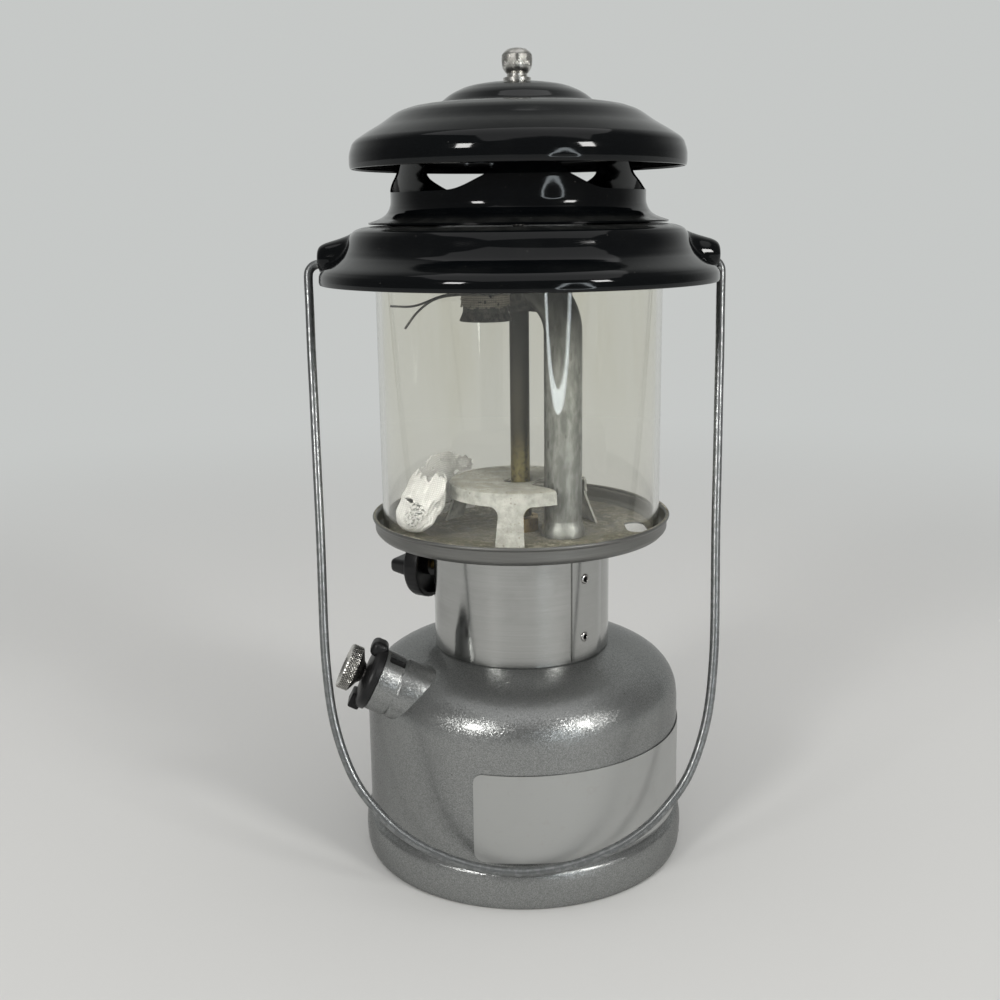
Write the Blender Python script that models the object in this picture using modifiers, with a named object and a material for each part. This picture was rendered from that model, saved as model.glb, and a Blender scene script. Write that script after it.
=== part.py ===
"""Dual fuel lantern, built as the separate pieces that the real one is made of.

Metres, +Z up. The origin is the centre of the foot ring on the table. +X runs along the bail's hinge
line, and -Y is the side that the plate and the pump face.
"""

import math

import bmesh
import bpy
from mathutils import Matrix, Vector

MM = 0.001

# Fits, sheets and roundness
GAP = 0.3 * MM                      # between pieces that touch on the real lantern
OVERRUN = 1.0 * MM                  # how far a cut runs past what it cuts
WELD = 0.02 * MM                    # distance at which a turned shape closes on its axis
BIG_STEPS = 32                      # facets round a large turned piece
MID_STEPS = 24
SMALL_STEPS = 16
HOOD_SHEET = 0.8 * MM
TANK_SHEET = 1.0 * MM

# Tank
TANK_RADIUS = 71.5 * MM
TANK_WALL_HEIGHT = 49.2 * MM        # straight wall, from the foot's crease to the shoulder
DOME_RISE = 29.5 * MM
DOME_ROUND = 3.2                    # exponents of the shoulder's superellipse
DOME_FLAT = 2.8
DOME_POINTS = 7
BUNG_RADIUS = 9.6 * MM              # hole at the top of the dome, for the valve
FOOT_HEIGHT = 18.8 * MM
FOOT_FLARE = 2.6 * MM               # how far the foot stands out past the wall
FOOT_CHANNEL = 5.2 * MM             # width of the foot's rolled channel
BASE_RECESS = 9.5 * MM              # height of the bottom plate above the table
BASE_LAP = 5.0 * MM                 # how far the base reaches up inside the shell

# Foil plate on the tank
PLATE_THICKNESS = 0.25 * MM
PLATE_BOTTOM = 21.2 * MM
PLATE_HEIGHT = 39.6 * MM
PLATE_START = -17.8                 # degrees round from the front, positive to the right
PLATE_SWEEP = 136.0
PLATE_STEPS = 20

# Pump, along its own axis: mouth of the housing at zero, outward positive
PUMP_INSET = 7.0 * MM               # mouth's centre inside the tank's left side
PUMP_FORWARD = 35.0 * MM            # mouth's centre in front of the lantern's axis
PUMP_RISE = 22.8 * MM               # mouth's centre above the shoulder
PUMP_ELEVATION = 26.0               # degrees above level
PUMP_TOE = 3.0                      # degrees towards the front
HOUSING_RADIUS = 13.7 * MM
HOUSING_WALL = 2.0 * MM
HOUSING_REACH = 44.0 * MM           # before the dome trims it
HOUSING_GROOVE_AT = 9.0 * MM        # below the mouth
HOUSING_GROOVE_DEPTH = 0.35 * MM
HOUSING_GROOVE_HALF = 1.2 * MM
HOUSING_SLOT_LENGTH = 7.5 * MM
HOUSING_SLOT_WIDTH = 6.5 * MM
HOUSING_SLOT_FROM = 1.6 * MM        # below the mouth
BARREL_RADIUS = 10.0 * MM
BARREL_WALL = 1.0 * MM
BARREL_LENGTH = 95.0 * MM
BARREL_LIP_FROM = 1.0 * MM          # the lip's top below the mouth
BARREL_LIP_THICKNESS = 1.2 * MM
PUMP_CAP_THICKNESS = 5.2 * MM
PUMP_CAP_STANDOUT = 0.8 * MM        # past the housing's radius
PUMP_CAP_LUG = 4.6 * MM
PUMP_CAP_LUG_WIDTH = 8.0 * MM
PUMP_CAP_TAB = 3.4 * MM
PUMP_CAP_TAB_WIDTH = 10.0 * MM
ROD_RADIUS = 2.5 * MM
ROD_BORE = 1.5 * MM
PLUNGER_END_CLEARANCE = 7.9 * MM     # pushed in, above the check valve
ROD_CLEARANCE = 0.6 * MM            # in the pump cap's hole
KNOB_RADIUS = 10.2 * MM
KNOB_RIM = 5.4 * MM
KNOB_NECK = 3.4 * MM
KNOB_NECK_RADIUS = 3.9 * MM
KNOB_STANDOFF = 0.5 * MM            # neck above the cap, pushed in
CUP_LENGTH = 7.0 * MM
CUP_LIP = 1.6 * MM
CUP_HOLLOW = 4.0 * MM
CUP_NUT_RADIUS = 5.0 * MM
CUP_NUT_THICKNESS = 1.4 * MM
STEM_RADIUS = 0.9 * MM
CHECK_HEAD_RADIUS = 6.0 * MM
CHECK_HEAD = 1.6 * MM
CHECK_SHANK_RADIUS = 4.0 * MM
CHECK_SHANK = 3.6 * MM
CHECK_BORE_DEPTH = 4.2 * MM
CHECK_BORE_RADIUS = 1.2 * MM

# Filler, on the far shoulder
FILLER_ANGLE = 150.0                # degrees round from the front, positive to the right
FILLER_INSET = 15.5 * MM            # where the filler leaves the dome, in from the tank's wall
FILLER_TILT = 26.0                  # degrees from upright
FILLER_NECK_RADIUS = 11.0 * MM
FILLER_NECK_WALL = 2.2 * MM
FILLER_NECK_RISE = 9.0 * MM
FILLER_NECK_REACH = 14.0 * MM       # below the dome, before it is trimmed
FILLER_CAP_WALL = 2.2 * MM
FILLER_CAP_SKIRT = 7.0 * MM
FILLER_CAP_ROOF = 3.0 * MM
FILLER_CAP_CHAMFER = 1.2 * MM
FILLER_GASKET = 1.6 * MM
FILLER_GRIPS = 9
FILLER_GRIP_RADIUS = 1.7 * MM
FILLER_GRIP_DEPTH = 0.7 * MM

# Collar
COLLAR_RADIUS = 39.8 * MM
COLLAR_SHEET = 0.6 * MM
COLLAR_HEIGHT = 51.2 * MM
COLLAR_PORT = 8.5 * MM              # hole that the valve's spindle passes
RIVET_ANGLE = 42.0                  # degrees round from the front, positive to the right
RIVET_HEIGHTS_SHARE = (0.725, 0.21)
RIVET_HEAD_RADIUS = 2.1 * MM
RIVET_HEAD = 0.9 * MM
RIVET_SHANK_RADIUS = 1.2 * MM

# Fuel valve
VALVE_ANGLE = -118.8                # degrees round from the front: to the left and behind
VALVE_HEIGHT = 126.0 * MM
VALVE_BODY_RADIUS = 8.0 * MM
VALVE_FLANGE_RADIUS = 13.0 * MM
VALVE_FLANGE = 5.0 * MM
VALVE_SPIGOT = 7.0 * MM             # below the flange, in the tank's hole
VALVE_BOSS_RADIUS = 6.5 * MM
VALVE_BOSS_REACH = 24.0 * MM
VALVE_NOSE_RADIUS = 5.4 * MM        # the upper end, through the tray
PACKING_RADIUS = 7.4 * MM
PACKING_LENGTH = 7.0 * MM
SPINDLE_RADIUS = 2.4 * MM
SPINDLE_SINK = 10.0 * MM            # into the boss
DIAL_FROM = 47.0 * MM               # inner face of the knob from the lantern's axis
DIAL_RADIUS = 16.0 * MM
DIAL_THICKNESS = 8.0 * MM
DIAL_CUP_WALL = 2.0 * MM
DIAL_CUP_DEPTH = 4.0 * MM
DIAL_HUB_RADIUS = 5.5 * MM
FIN_HEIGHT = 8.0 * MM
FIN_WIDTH = 7.0 * MM
FIN_LENGTH = 29.0 * MM
SCREW_RADIUS = 2.6 * MM
SCREW_HEAD = 1.6 * MM
SCREW_RECESS = 1.0 * MM
SPINDLE_END = 3.0 * MM              # from the spindle's end to the fin's outer face

# Fuel pickup
PICKUP_RADIUS = 2.4 * MM
PICKUP_SIDESTEP = 12.0 * MM         # away from the pump's barrel
PICKUP_CLEAR = 4.0 * MM             # above the bottom plate

# Tray
TRAY_SHEET = 0.8 * MM
TRAY_RADIUS = 65.5 * MM
TRAY_RIM = 7.5 * MM
TRAY_STEP = 1.2 * MM                # the middle lies lower than the globe's seat
TRAY_STEP_RADIUS = 42.5 * MM
TRAY_ROUND = 2.2 * MM
LIGHTING_X = 52.0 * MM
LIGHTING_Y = -3.2 * MM
LIGHTING_LENGTH = 19.0 * MM
LIGHTING_WIDTH = 9.6 * MM
JAM_NUT_RADIUS = 9.0 * MM
JAM_NUT = 6.0 * MM

# Heat shield
SHIELD_RADIUS = 31.0 * MM
SHIELD_HEIGHT = 23.9 * MM           # top face above the tray's middle
SHIELD_SHEET = 0.9 * MM
SHIELD_FLANGE = 6.6 * MM
SHIELD_DISH = 0.8 * MM
SHIELD_HOLE = 6.2 * MM
SHIELD_LEG_ANGLE = -6.5             # degrees round from the front
SHIELD_LEG_WIDTH = 10.4 * MM
SHIELD_LEG_SPREAD = 7.0 * MM        # foot further out than the flange
SHIELD_LEGS = 3
SHIELD_CUT_FROM = 9.0 * MM
SHIELD_CUT_NARROW = 8.0 * MM
SHIELD_CUT_WIDE = 17.0 * MM

# Air tube
AIR_TUBE_RADIUS = 8.3 * MM
AIR_TUBE_WALL = 1.0 * MM
AIR_TUBE_OFFSET = 22.9 * MM         # from the lantern's axis
AIR_TUBE_ANGLE = 61.2               # degrees round from the front, positive to the right
AIR_TUBE_BEND = 20.0 * MM
AIR_TUBE_FLARE_SHARE = 1.14
AIR_TUBE_BEND_POINTS = 9

# Generator
GENERATOR_RADIUS = 4.3 * MM
GENERATOR_BORE = 2.2 * MM
GENERATOR_TOP = 98.0 * MM           # above the tray's middle
NEEDLE_RADIUS = 0.6 * MM
NEEDLE_LIFT = 3.0 * MM
TIP_RADIUS = 3.0 * MM
TIP_LENGTH = 6.5 * MM
TIP_BORE = 1.2 * MM

# Burners
CHAMBER_RADIUS = 10.0 * MM
CHAMBER_HEIGHT = 25.0 * MM
CHAMBER_BORE_DEPTH = 10.0 * MM
AIR_INLET_HEIGHT = 11.1 * MM        # above the chamber's bottom
ARM_RADIUS = 6.4 * MM
ARM_REACH = 29.6 * MM               # from the axis to each burner
ARM_DROP = 14.5 * MM                 # arm's axis above the burner tube's mouth
ARM_BELOW_TOP = 8.5 * MM            # arm's axis below the chamber's top
BURNER_ANGLE = -28.8                # degrees round from the front, of the near burner
CAP_RADIUS = 9.3 * MM
CAP_WALL = 1.4 * MM
CAP_LIP = 1.4 * MM                  # flare past the cap's radius
CAP_LIP_HEIGHT = 3.6 * MM
CAP_HEIGHT = 11.6 * MM
CAP_LEDGE = 1.2 * MM                # inward ledge that holds the screens
CAP_LEDGE_HEIGHT = 1.2 * MM
SCREEN_THICKNESS = 2.4 * MM

# Mantle remains, and the wire that held the near one
REMNANT_SHEET = 0.6 * MM
REMNANT_DROP = 7.2 * MM
REMNANT_RAG = 1.6 * MM
REMNANT_RAGS = 5
CLIP_RADIUS = 0.55 * MM
CLIP_LOOP_SWEEP = 250.0
CLIP_LOOP_POINTS = 14
CLIP_ABOVE_CAP_LIP = 11.4 * MM
SCRAP_SHEET = 0.7 * MM
SCRAP_FRONT_WIDTH = 21.0 * MM
SCRAP_FRONT_HEIGHT = 27.0 * MM
SCRAP_BACK_WIDTH = 37.0 * MM
SCRAP_BACK_HEIGHT = 27.5 * MM
SCRAP_LIFT = 0.45 * MM              # clear of the tray at the lowest rumple

# Globe
GLOBE_RADIUS = 62.0 * MM
GLOBE_WALL = 2.4 * MM
GLOBE_HEIGHT = 117.0 * MM

# Hood
CREASE_ABOVE_GLOBE = 17.1 * MM      # where the neck's foot meets the skirt
SKIRT_RADIUS = 86.1 * MM
SKIRT_TOP_RADIUS = 60.5 * MM
SKIRT_DROP = 25.0 * MM
NECK_RADIUS = 54.4 * MM
NECK_FOOT_RADIUS = 64.2 * MM
NECK_TAB_RADIUS = 46.0 * MM
WINDOW_SILL = 12.3 * MM             # above the neck's foot
WINDOW_HALF_WIDTH = 39.0 * MM
WINDOW_OPEN_HEIGHT = 8.8 * MM       # over which the window spreads to its full width
WINDOWS = 3
WINDOW_TURN = 3.2                   # degrees that the front tab sits round to the right
CANOPY_RADIUS = 71.4 * MM
CANOPY_HEIGHT = 35.1 * MM
CANOPY_ABOVE_CREASE = 22.2 * MM     # canopy's rim above the crease
CANOPY_HOLE = 3.5 * MM
BAFFLE_SHEET = 0.7 * MM
BAFFLE_RADIUS = 57.2 * MM
BAFFLE_LAP = 2.6 * MM               # past the globe's outside
BAFFLE_TOP_LAP = 3.2 * MM           # under the skirt's top
EAR_RADIUS = 8.3 * MM
EAR_FACE = 86.9 * MM                # outer face of an ear from the axis
EAR_ROOT = 66.0 * MM
EAR_ABOVE_PIVOT = 2.2 * MM
EAR_HOLE = 2.2 * MM
PIVOT_BELOW_CREASE = 16.7 * MM

# Stud and ball nut
STUD_RADIUS = 2.4 * MM
STUD_INTO_NUT = 8.5 * MM
NUT_RADIUS = 6.5 * MM
NUT_HEIGHT = 13.3 * MM
NUT_BORE = 2.7 * MM
NUT_BORE_DEPTH = 9.8 * MM

# Bail
BAIL_WIRE = 1.65 * MM
BAIL_HALF = 88.9 * MM               # wire's centre line from the axis, at the hinge
BAIL_DROP = 259.3 * MM
BAIL_TILT = 16.8                    # degrees that it hangs out to the front
BAIL_TIP = 5.5 * MM                 # past the ear's face, inwards
BAIL_CORNER = 2.3 * MM

PARTS_NAME = "dual_fuel_lantern"


def deg(angle):
    return math.radians(angle)


def round_from_front(angle, radius):
    """Point at an angle from the front (-Y), positive to the right (+X)."""
    return Vector((radius * math.sin(deg(angle)), -radius * math.cos(deg(angle)), 0))


def dome_height(radius):
    """Height of the dome's outside at a distance from the axis."""
    share = 1 - (radius / TANK_RADIUS) ** DOME_ROUND
    return SHOULDER_Z + DOME_RISE * share ** (1 / DOME_FLAT)


def read_outline(points, radius):
    """Height at a radius on an outline given as (radius, height) pairs, from inner to outer."""
    for (r0, z0), (r1, z1) in zip(points, points[1:]):
        if r0 <= radius <= r1:
            return z0 + (z1 - z0) * (radius - r0) / (r1 - r0)
    return points[-1][1]


# Heights that follow from the sizes above
SHOULDER_Z = FOOT_HEIGHT + TANK_WALL_HEIGHT
COLLAR_BOTTOM = dome_height(COLLAR_RADIUS) + GAP
COLLAR_TOP = COLLAR_BOTTOM + COLLAR_HEIGHT
TRAY_UNDER = COLLAR_TOP + GAP
TRAY_MIDDLE = TRAY_UNDER + TRAY_SHEET
TRAY_SEAT = TRAY_MIDDLE + TRAY_STEP
GLOBE_BOTTOM = TRAY_SEAT + GAP
GLOBE_TOP = GLOBE_BOTTOM + GLOBE_HEIGHT
CREASE_Z = GLOBE_TOP + CREASE_ABOVE_GLOBE
PIVOT_Z = CREASE_Z - PIVOT_BELOW_CREASE
CANOPY_RIM_Z = CREASE_Z + CANOPY_ABOVE_CREASE
CANOPY_TOP_Z = CANOPY_RIM_Z + CANOPY_HEIGHT
GENERATOR_TOP_Z = TRAY_MIDDLE + GENERATOR_TOP
CHAMBER_BOTTOM = GENERATOR_TOP_Z + GAP
CHAMBER_TOP = CHAMBER_BOTTOM + CHAMBER_HEIGHT
ARM_Z = CHAMBER_TOP - ARM_BELOW_TOP
BURNER_MOUTH = ARM_Z - ARM_DROP
CAP_BOTTOM = BURNER_MOUTH - GAP - SCREEN_THICKNESS - GAP - CAP_LEDGE_HEIGHT
NUT_BOTTOM = CANOPY_TOP_Z + GAP

CANOPY_SHARES = (
    (0.19, 0.985), (0.303, 0.945), (0.396, 0.862), (0.488, 0.738), (0.532, 0.736), (0.635, 0.708),
    (0.72, 0.65), (0.888, 0.432), (0.975, 0.32), (1.0, 0.18), (1.0, 0.0),
)
SKIRT_SHARES = (
    (0.0, 0.972), (0.24, 0.948), (0.39, 0.895), (0.46, 0.80), (0.52, 0.61), (0.61, 0.48),
    (0.72, 0.398), (0.925, 0.265), (0.99, 0.175), (1.0, 0.0),
)
WINDOW_SHARES = ((0.52, 0.0), (0.66, 0.1), (0.76, 0.27), (0.95, 0.7), (1.0, 1.0))
NECK_SHARES = (
    (0.925, 0.78), (0.974, 0.59), (0.996, 0.415), (1.0, 0.29), (1.0, 0.175), (1.015, 0.12),
    (1.04, 0.075), (1.094, 0.033),
)


def canopy_outline():
    points = [(CANOPY_HOLE, CANOPY_TOP_Z)]
    points += [(CANOPY_RADIUS * r, CANOPY_RIM_Z + CANOPY_HEIGHT * z) for r, z in CANOPY_SHARES]
    return points


def skirt_outline():
    reach = SKIRT_RADIUS - SKIRT_TOP_RADIUS
    bottom = CREASE_Z - SKIRT_DROP
    return [(SKIRT_TOP_RADIUS + reach * r, bottom + SKIRT_DROP * z) for r, z in SKIRT_SHARES]


def neck_outline():
    skirt_there = read_outline(skirt_outline(), NECK_FOOT_RADIUS)
    foot = skirt_there + GAP + 1.5 * HOOD_SHEET
    tab_top = read_outline(canopy_outline(), NECK_TAB_RADIUS) - 1.5 * HOOD_SHEET - GAP
    height = tab_top - foot
    points = [(NECK_TAB_RADIUS, tab_top)]
    points += [(NECK_RADIUS * r, foot + height * z) for r, z in NECK_SHARES]
    points.append((NECK_FOOT_RADIUS, foot))
    return points


def clear_scene():
    for obj in list(bpy.data.objects):
        bpy.data.objects.remove(obj, do_unlink=True)
    for collection in list(bpy.data.collections):
        bpy.data.collections.remove(collection)


def make_collection(name):
    collection = bpy.data.collections.new(name)
    bpy.context.scene.collection.children.link(collection)
    return collection


def make_material(name, colour, roughness, metallic=0.0, alpha=1.0):
    material = bpy.data.materials.new(name)
    material.use_nodes = True
    shader = material.node_tree.nodes["Principled BSDF"]
    shader.inputs["Base Color"].default_value = (*colour, 1.0)
    shader.inputs["Roughness"].default_value = roughness
    shader.inputs["Metallic"].default_value = metallic
    shader.inputs["Alpha"].default_value = alpha
    return material


def place(obj, material, axis=None):
    """Put an object in the model, with its material, on an axis empty if it has one."""
    if material is None:
        CUTTERS.objects.link(obj)
        obj.hide_render = True
        obj.display_type = "WIRE"
    else:
        PARTS.objects.link(obj)
        obj.data.materials.append(material)
    if axis is not None:
        obj.parent = axis
    return obj


def make_axis(name, origin, frame=None):
    """An empty on a joint's axis; frame holds its X, Y and Z directions."""
    empty = bpy.data.objects.new(name, None)
    PARTS.objects.link(empty)
    matrix = Matrix.Identity(4)
    if frame is not None:
        for column, direction in enumerate(frame):
            for row in range(3):
                matrix[row][column] = direction[row]
    matrix.translation = origin
    empty.matrix_world = matrix
    return empty


def mesh_object(name, bm, material, axis=None, smooth=True):
    mesh = bpy.data.meshes.new(name)
    bm.to_mesh(mesh)
    bm.free()
    if smooth:
        mesh.shade_smooth()
        mesh.set_sharp_from_angle(angle=deg(35))
    return place(bpy.data.objects.new(name, mesh), material, axis)


def turned(name, outline, material, steps=MID_STEPS, sheet=0.0, loop=False, axis=None, start=0.0, sweep=360.0):
    """A turned piece: an outline of (radius, height) that runs down the outside, screwed about Z.

    With sheet it is a shell of that thickness, inside the outline. With loop the outline closes."""
    bm = bmesh.new()
    spin = Matrix.Rotation(deg(start), 3, "Z")
    verts = [bm.verts.new(spin @ Vector((r, 0, z))) for r, z in outline]
    pairs = list(zip(verts, verts[1:]))
    if loop:
        pairs.append((verts[-1], verts[0]))
    for a, b in pairs:
        bm.edges.new((a, b))
    obj = mesh_object(name, bm, material, axis, smooth=False)
    screw = obj.modifiers.new("Turn", "SCREW")
    screw.axis = "Z"
    screw.angle = deg(sweep)
    screw.steps = steps
    screw.render_steps = steps
    screw.use_merge_vertices = sweep == 360.0
    screw.merge_threshold = WELD
    screw.use_smooth_shade = True
    if sheet:
        shell = obj.modifiers.new("Sheet", "SOLIDIFY")
        shell.thickness = sheet
        shell.offset = -1
        shell.use_even_offset = True
        shell.use_rim = True
    return obj


def cylinder(name, radius, low, high, material, steps=SMALL_STEPS, axis=None, turn=None, radius_top=None):
    """A closed cylinder or cone along Z from low to high, or turned by a matrix."""
    bm = bmesh.new()
    top = radius if radius_top is None else radius_top
    bmesh.ops.create_cone(
        bm, cap_ends=True, segments=steps, radius1=radius, radius2=top, depth=high - low,
        matrix=Matrix.Translation((0, 0, (low + high) / 2)))
    if turn is not None:
        bm.transform(turn)
    return mesh_object(name, bm, material, axis)


def block(name, size, centre, material, axis=None, turn=None):
    bm = bmesh.new()
    bmesh.ops.create_cube(bm, size=1.0, matrix=Matrix.Translation(centre) @ Matrix.Diagonal((*size, 1.0)))
    if turn is not None:
        bm.transform(turn)
    return mesh_object(name, bm, material, axis, smooth=False)


def prism(name, outline, low, high, material, axis=None, turn=None):
    """A flat outline of (x, y) points raised from low to high."""
    bm = bmesh.new()
    verts = [bm.verts.new((x, y, low)) for x, y in outline]
    face = bm.faces.new(verts)
    raised = bmesh.ops.extrude_face_region(bm, geom=[face])["geom"]
    moved = [item for item in raised if isinstance(item, bmesh.types.BMVert)]
    bmesh.ops.translate(bm, verts=moved, vec=(0, 0, high - low))
    if turn is not None:
        bm.transform(turn)
    bmesh.ops.recalc_face_normals(bm, faces=bm.faces)
    return mesh_object(name, bm, material, axis, smooth=False)


def wire(name, points, radius, material, sides=2, axis=None, radii_share=None):
    """A round wire or pipe through points, as a poly curve with filled caps."""
    curve = bpy.data.curves.new(name, "CURVE")
    curve.dimensions = "3D"
    curve.bevel_depth = radius
    curve.bevel_resolution = sides
    curve.use_fill_caps = True
    spline = curve.splines.new("POLY")
    spline.points.add(len(points) - 1)
    for index, (slot, point) in enumerate(zip(spline.points, points)):
        slot.co = (*point, 1.0)
        slot.radius = radii_share[index] if radii_share else 1.0
    return place(bpy.data.objects.new(name, curve), material, axis)


def curve_to_mesh(obj, material):
    """The same piece as a closed mesh, so that it can be cut."""
    bpy.context.view_layer.update()
    evaluated = obj.evaluated_get(bpy.context.evaluated_depsgraph_get())
    mesh = bpy.data.meshes.new_from_object(evaluated)
    bm = bmesh.new()
    bm.from_mesh(mesh)
    bmesh.ops.remove_doubles(bm, verts=bm.verts, dist=WELD)
    bmesh.ops.recalc_face_normals(bm, faces=bm.faces)
    bm.to_mesh(mesh)
    bm.free()
    mesh.materials.clear()
    name = obj.name
    matrix = obj.matrix_world.copy()
    bpy.data.objects.remove(obj, do_unlink=True)
    solid = bpy.data.objects.new(name, mesh)
    solid.matrix_world = matrix
    return place(solid, material)


def boolean(obj, other, operation):
    modifier = obj.modifiers.new(operation.title(), "BOOLEAN")
    modifier.operation = operation
    modifier.solver = "EXACT"
    modifier.object = other
    return obj


def cut(obj, *cutters):
    for cutter in cutters:
        boolean(obj, cutter, "DIFFERENCE")
    return obj


def fuse(obj, *others):
    for other in others:
        boolean(obj, other, "UNION")
    return obj


def ring(inner, outer, low, high):
    """Closed outline of a square-edged ring, down the outside and back up the bore."""
    return [(outer, high), (outer, low), (inner, low), (inner, high)]


def along(direction, origin=Vector((0, 0, 0))):
    """Matrix that lays a piece made along Z on a direction."""
    return Matrix.Translation(origin) @ direction.to_track_quat("Z", "Y").to_matrix().to_4x4()


def make_materials():
    return {
        "tank": make_material("tank_paint", (0.42, 0.43, 0.43), 0.38, 0.7),
        "plate": make_material("plate_foil", (0.72, 0.73, 0.73), 0.35, 0.6),
        "steel": make_material("bare_steel", (0.62, 0.61, 0.59), 0.32, 1.0),
        "tray": make_material("tray_steel", (0.32, 0.31, 0.30), 0.45, 0.8),
        "wire": make_material("bail_steel", (0.45, 0.46, 0.47), 0.35, 1.0),
        "enamel": make_material("black_enamel", (0.006, 0.007, 0.008), 0.06),
        "brass": make_material("brass", (0.62, 0.48, 0.22), 0.35, 1.0),
        "tinted": make_material("heat_tinted_brass", (0.13, 0.11, 0.10), 0.5, 0.7),
        "aluminium": make_material("aluminium", (0.48, 0.49, 0.50), 0.42, 1.0),
        "chrome": make_material("chrome", (0.75, 0.74, 0.71), 0.18, 1.0),
        "plastic": make_material("black_plastic", (0.012, 0.012, 0.013), 0.4),
        "rubber": make_material("rubber", (0.02, 0.02, 0.02), 0.8),
        "ash": make_material("ash_white", (0.62, 0.60, 0.55), 0.85),
        "mantle": make_material("burnt_mantle", (0.80, 0.80, 0.77), 0.9),
        "glass": make_material("globe_glass", (0.95, 0.95, 0.93), 0.03, 0.0, 0.25),
    }


def dome_outline(growth=0.0, inner=0.0):
    """The dome from an inner radius out to the wall, grown outwards by a clearance."""
    points = []
    first = math.asin((inner / TANK_RADIUS) ** (DOME_ROUND / 2))
    for index in range(DOME_POINTS + 1):
        angle = first + (deg(90) - first) * index / DOME_POINTS
        r = (TANK_RADIUS + growth) * math.sin(angle) ** (2 / DOME_ROUND)
        z = SHOULDER_Z + (DOME_RISE + growth) * max(math.cos(angle), 0.0) ** (2 / DOME_FLAT)
        points.append((r, z))
    points[-1] = (TANK_RADIUS + growth, SHOULDER_Z)
    return points


def make_dome_cutter():
    """The tank's outside with a gap round it, which trims what is seated on the dome."""
    outline = [(0, SHOULDER_Z + DOME_RISE + GAP)] + dome_outline(GAP, BUNG_RADIUS)
    outline += [(TANK_RADIUS + GAP, FOOT_HEIGHT), (0, FOOT_HEIGHT)]
    return turned("dome_cutter", outline, None, steps=BIG_STEPS)


def make_tank_shell():
    outline = dome_outline(0.0, BUNG_RADIUS)
    outline.append((TANK_RADIUS, FOOT_HEIGHT + GAP))
    shell = turned("tank_shell", outline, MATERIALS["tank"], steps=BIG_STEPS, sheet=TANK_SHEET)
    barrel_hole = cylinder(
        "barrel_hole", BARREL_RADIUS + GAP, -HOUSING_REACH - HOUSING_RADIUS, 0, None, axis=PUMP_AXIS)
    neck_hole = cylinder(
        "neck_hole", FILLER_NECK_RADIUS - FILLER_NECK_WALL, -FILLER_NECK_REACH, FILLER_NECK_REACH, None,
        axis=FILLER_AXIS)
    return cut(shell, barrel_hole, neck_hole)


def make_tank_base():
    """Foot ring rolled as a channel, with the recessed bottom plate inside it."""
    lap = TANK_RADIUS - TANK_SHEET - GAP
    foot = TANK_RADIUS + FOOT_FLARE
    inner = foot - FOOT_CHANNEL
    outline = [
        (lap, FOOT_HEIGHT + BASE_LAP),
        (lap, FOOT_HEIGHT - TANK_SHEET),
        (TANK_RADIUS + 0.35 * FOOT_FLARE, FOOT_HEIGHT - 1.4 * TANK_SHEET),
        (TANK_RADIUS + 0.85 * FOOT_FLARE, 0.76 * FOOT_HEIGHT),
        (foot, 0.52 * FOOT_HEIGHT),
        (TANK_RADIUS + 0.9 * FOOT_FLARE, 0.16 * FOOT_HEIGHT),
        (TANK_RADIUS + 0.25 * FOOT_FLARE, 0),
        (inner + 0.25 * FOOT_CHANNEL, 0),
        (inner, 0.12 * FOOT_HEIGHT),
        (inner - 0.1 * FOOT_CHANNEL, 0.85 * BASE_RECESS),
        (inner - 0.5 * FOOT_CHANNEL, BASE_RECESS),
        (0, BASE_RECESS),
    ]
    return turned("tank_base", outline, MATERIALS["tank"], steps=BIG_STEPS, sheet=TANK_SHEET)


def make_tank_plate():
    outline = [
        (TANK_RADIUS + GAP + PLATE_THICKNESS, PLATE_BOTTOM + PLATE_HEIGHT),
        (TANK_RADIUS + GAP + PLATE_THICKNESS, PLATE_BOTTOM),
    ]
    return turned("tank_plate", outline, MATERIALS["plate"], steps=PLATE_STEPS, sheet=PLATE_THICKNESS,
                  start=PLATE_START - 90, sweep=PLATE_SWEEP)


def make_pump_housing():
    groove = HOUSING_RADIUS - HOUSING_GROOVE_DEPTH
    outline = [
        (HOUSING_RADIUS, 0),
        (HOUSING_RADIUS, -HOUSING_GROOVE_AT + HOUSING_GROOVE_HALF),
        (groove, -HOUSING_GROOVE_AT),
        (HOUSING_RADIUS, -HOUSING_GROOVE_AT - HOUSING_GROOVE_HALF),
        (HOUSING_RADIUS, -HOUSING_REACH),
        (HOUSING_RADIUS - HOUSING_WALL, -HOUSING_REACH),
        (HOUSING_RADIUS - HOUSING_WALL, 0),
    ]
    housing = turned("pump_housing", outline, MATERIALS["tank"], loop=True, axis=PUMP_AXIS)
    slot = block(
        "housing_slot", (HOUSING_SLOT_WIDTH, 2 * HOUSING_WALL + 2 * OVERRUN, HOUSING_SLOT_LENGTH),
        (0, HOUSING_RADIUS - HOUSING_WALL / 2, -HOUSING_SLOT_FROM - HOUSING_SLOT_LENGTH / 2), None,
        axis=PUMP_AXIS, turn=Matrix.Rotation(deg(18), 4, "Z"))
    return cut(housing, DOME_CUTTER, slot)


def make_pump_barrel():
    lip = HOUSING_RADIUS - HOUSING_WALL - GAP
    bore = BARREL_RADIUS - BARREL_WALL
    lip_under = -BARREL_LIP_FROM - BARREL_LIP_THICKNESS
    hole = CHECK_SHANK_RADIUS + GAP
    outline = [
        (bore, -BARREL_LIP_FROM), (lip, -BARREL_LIP_FROM), (lip, lip_under), (BARREL_RADIUS, lip_under),
        (BARREL_RADIUS, -BARREL_LENGTH), (hole, -BARREL_LENGTH), (hole, -BARREL_LENGTH + BARREL_WALL),
        (bore, -BARREL_LENGTH + BARREL_WALL),
    ]
    return turned("pump_barrel", outline, MATERIALS["brass"], steps=SMALL_STEPS, loop=True, axis=PUMP_AXIS)


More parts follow.
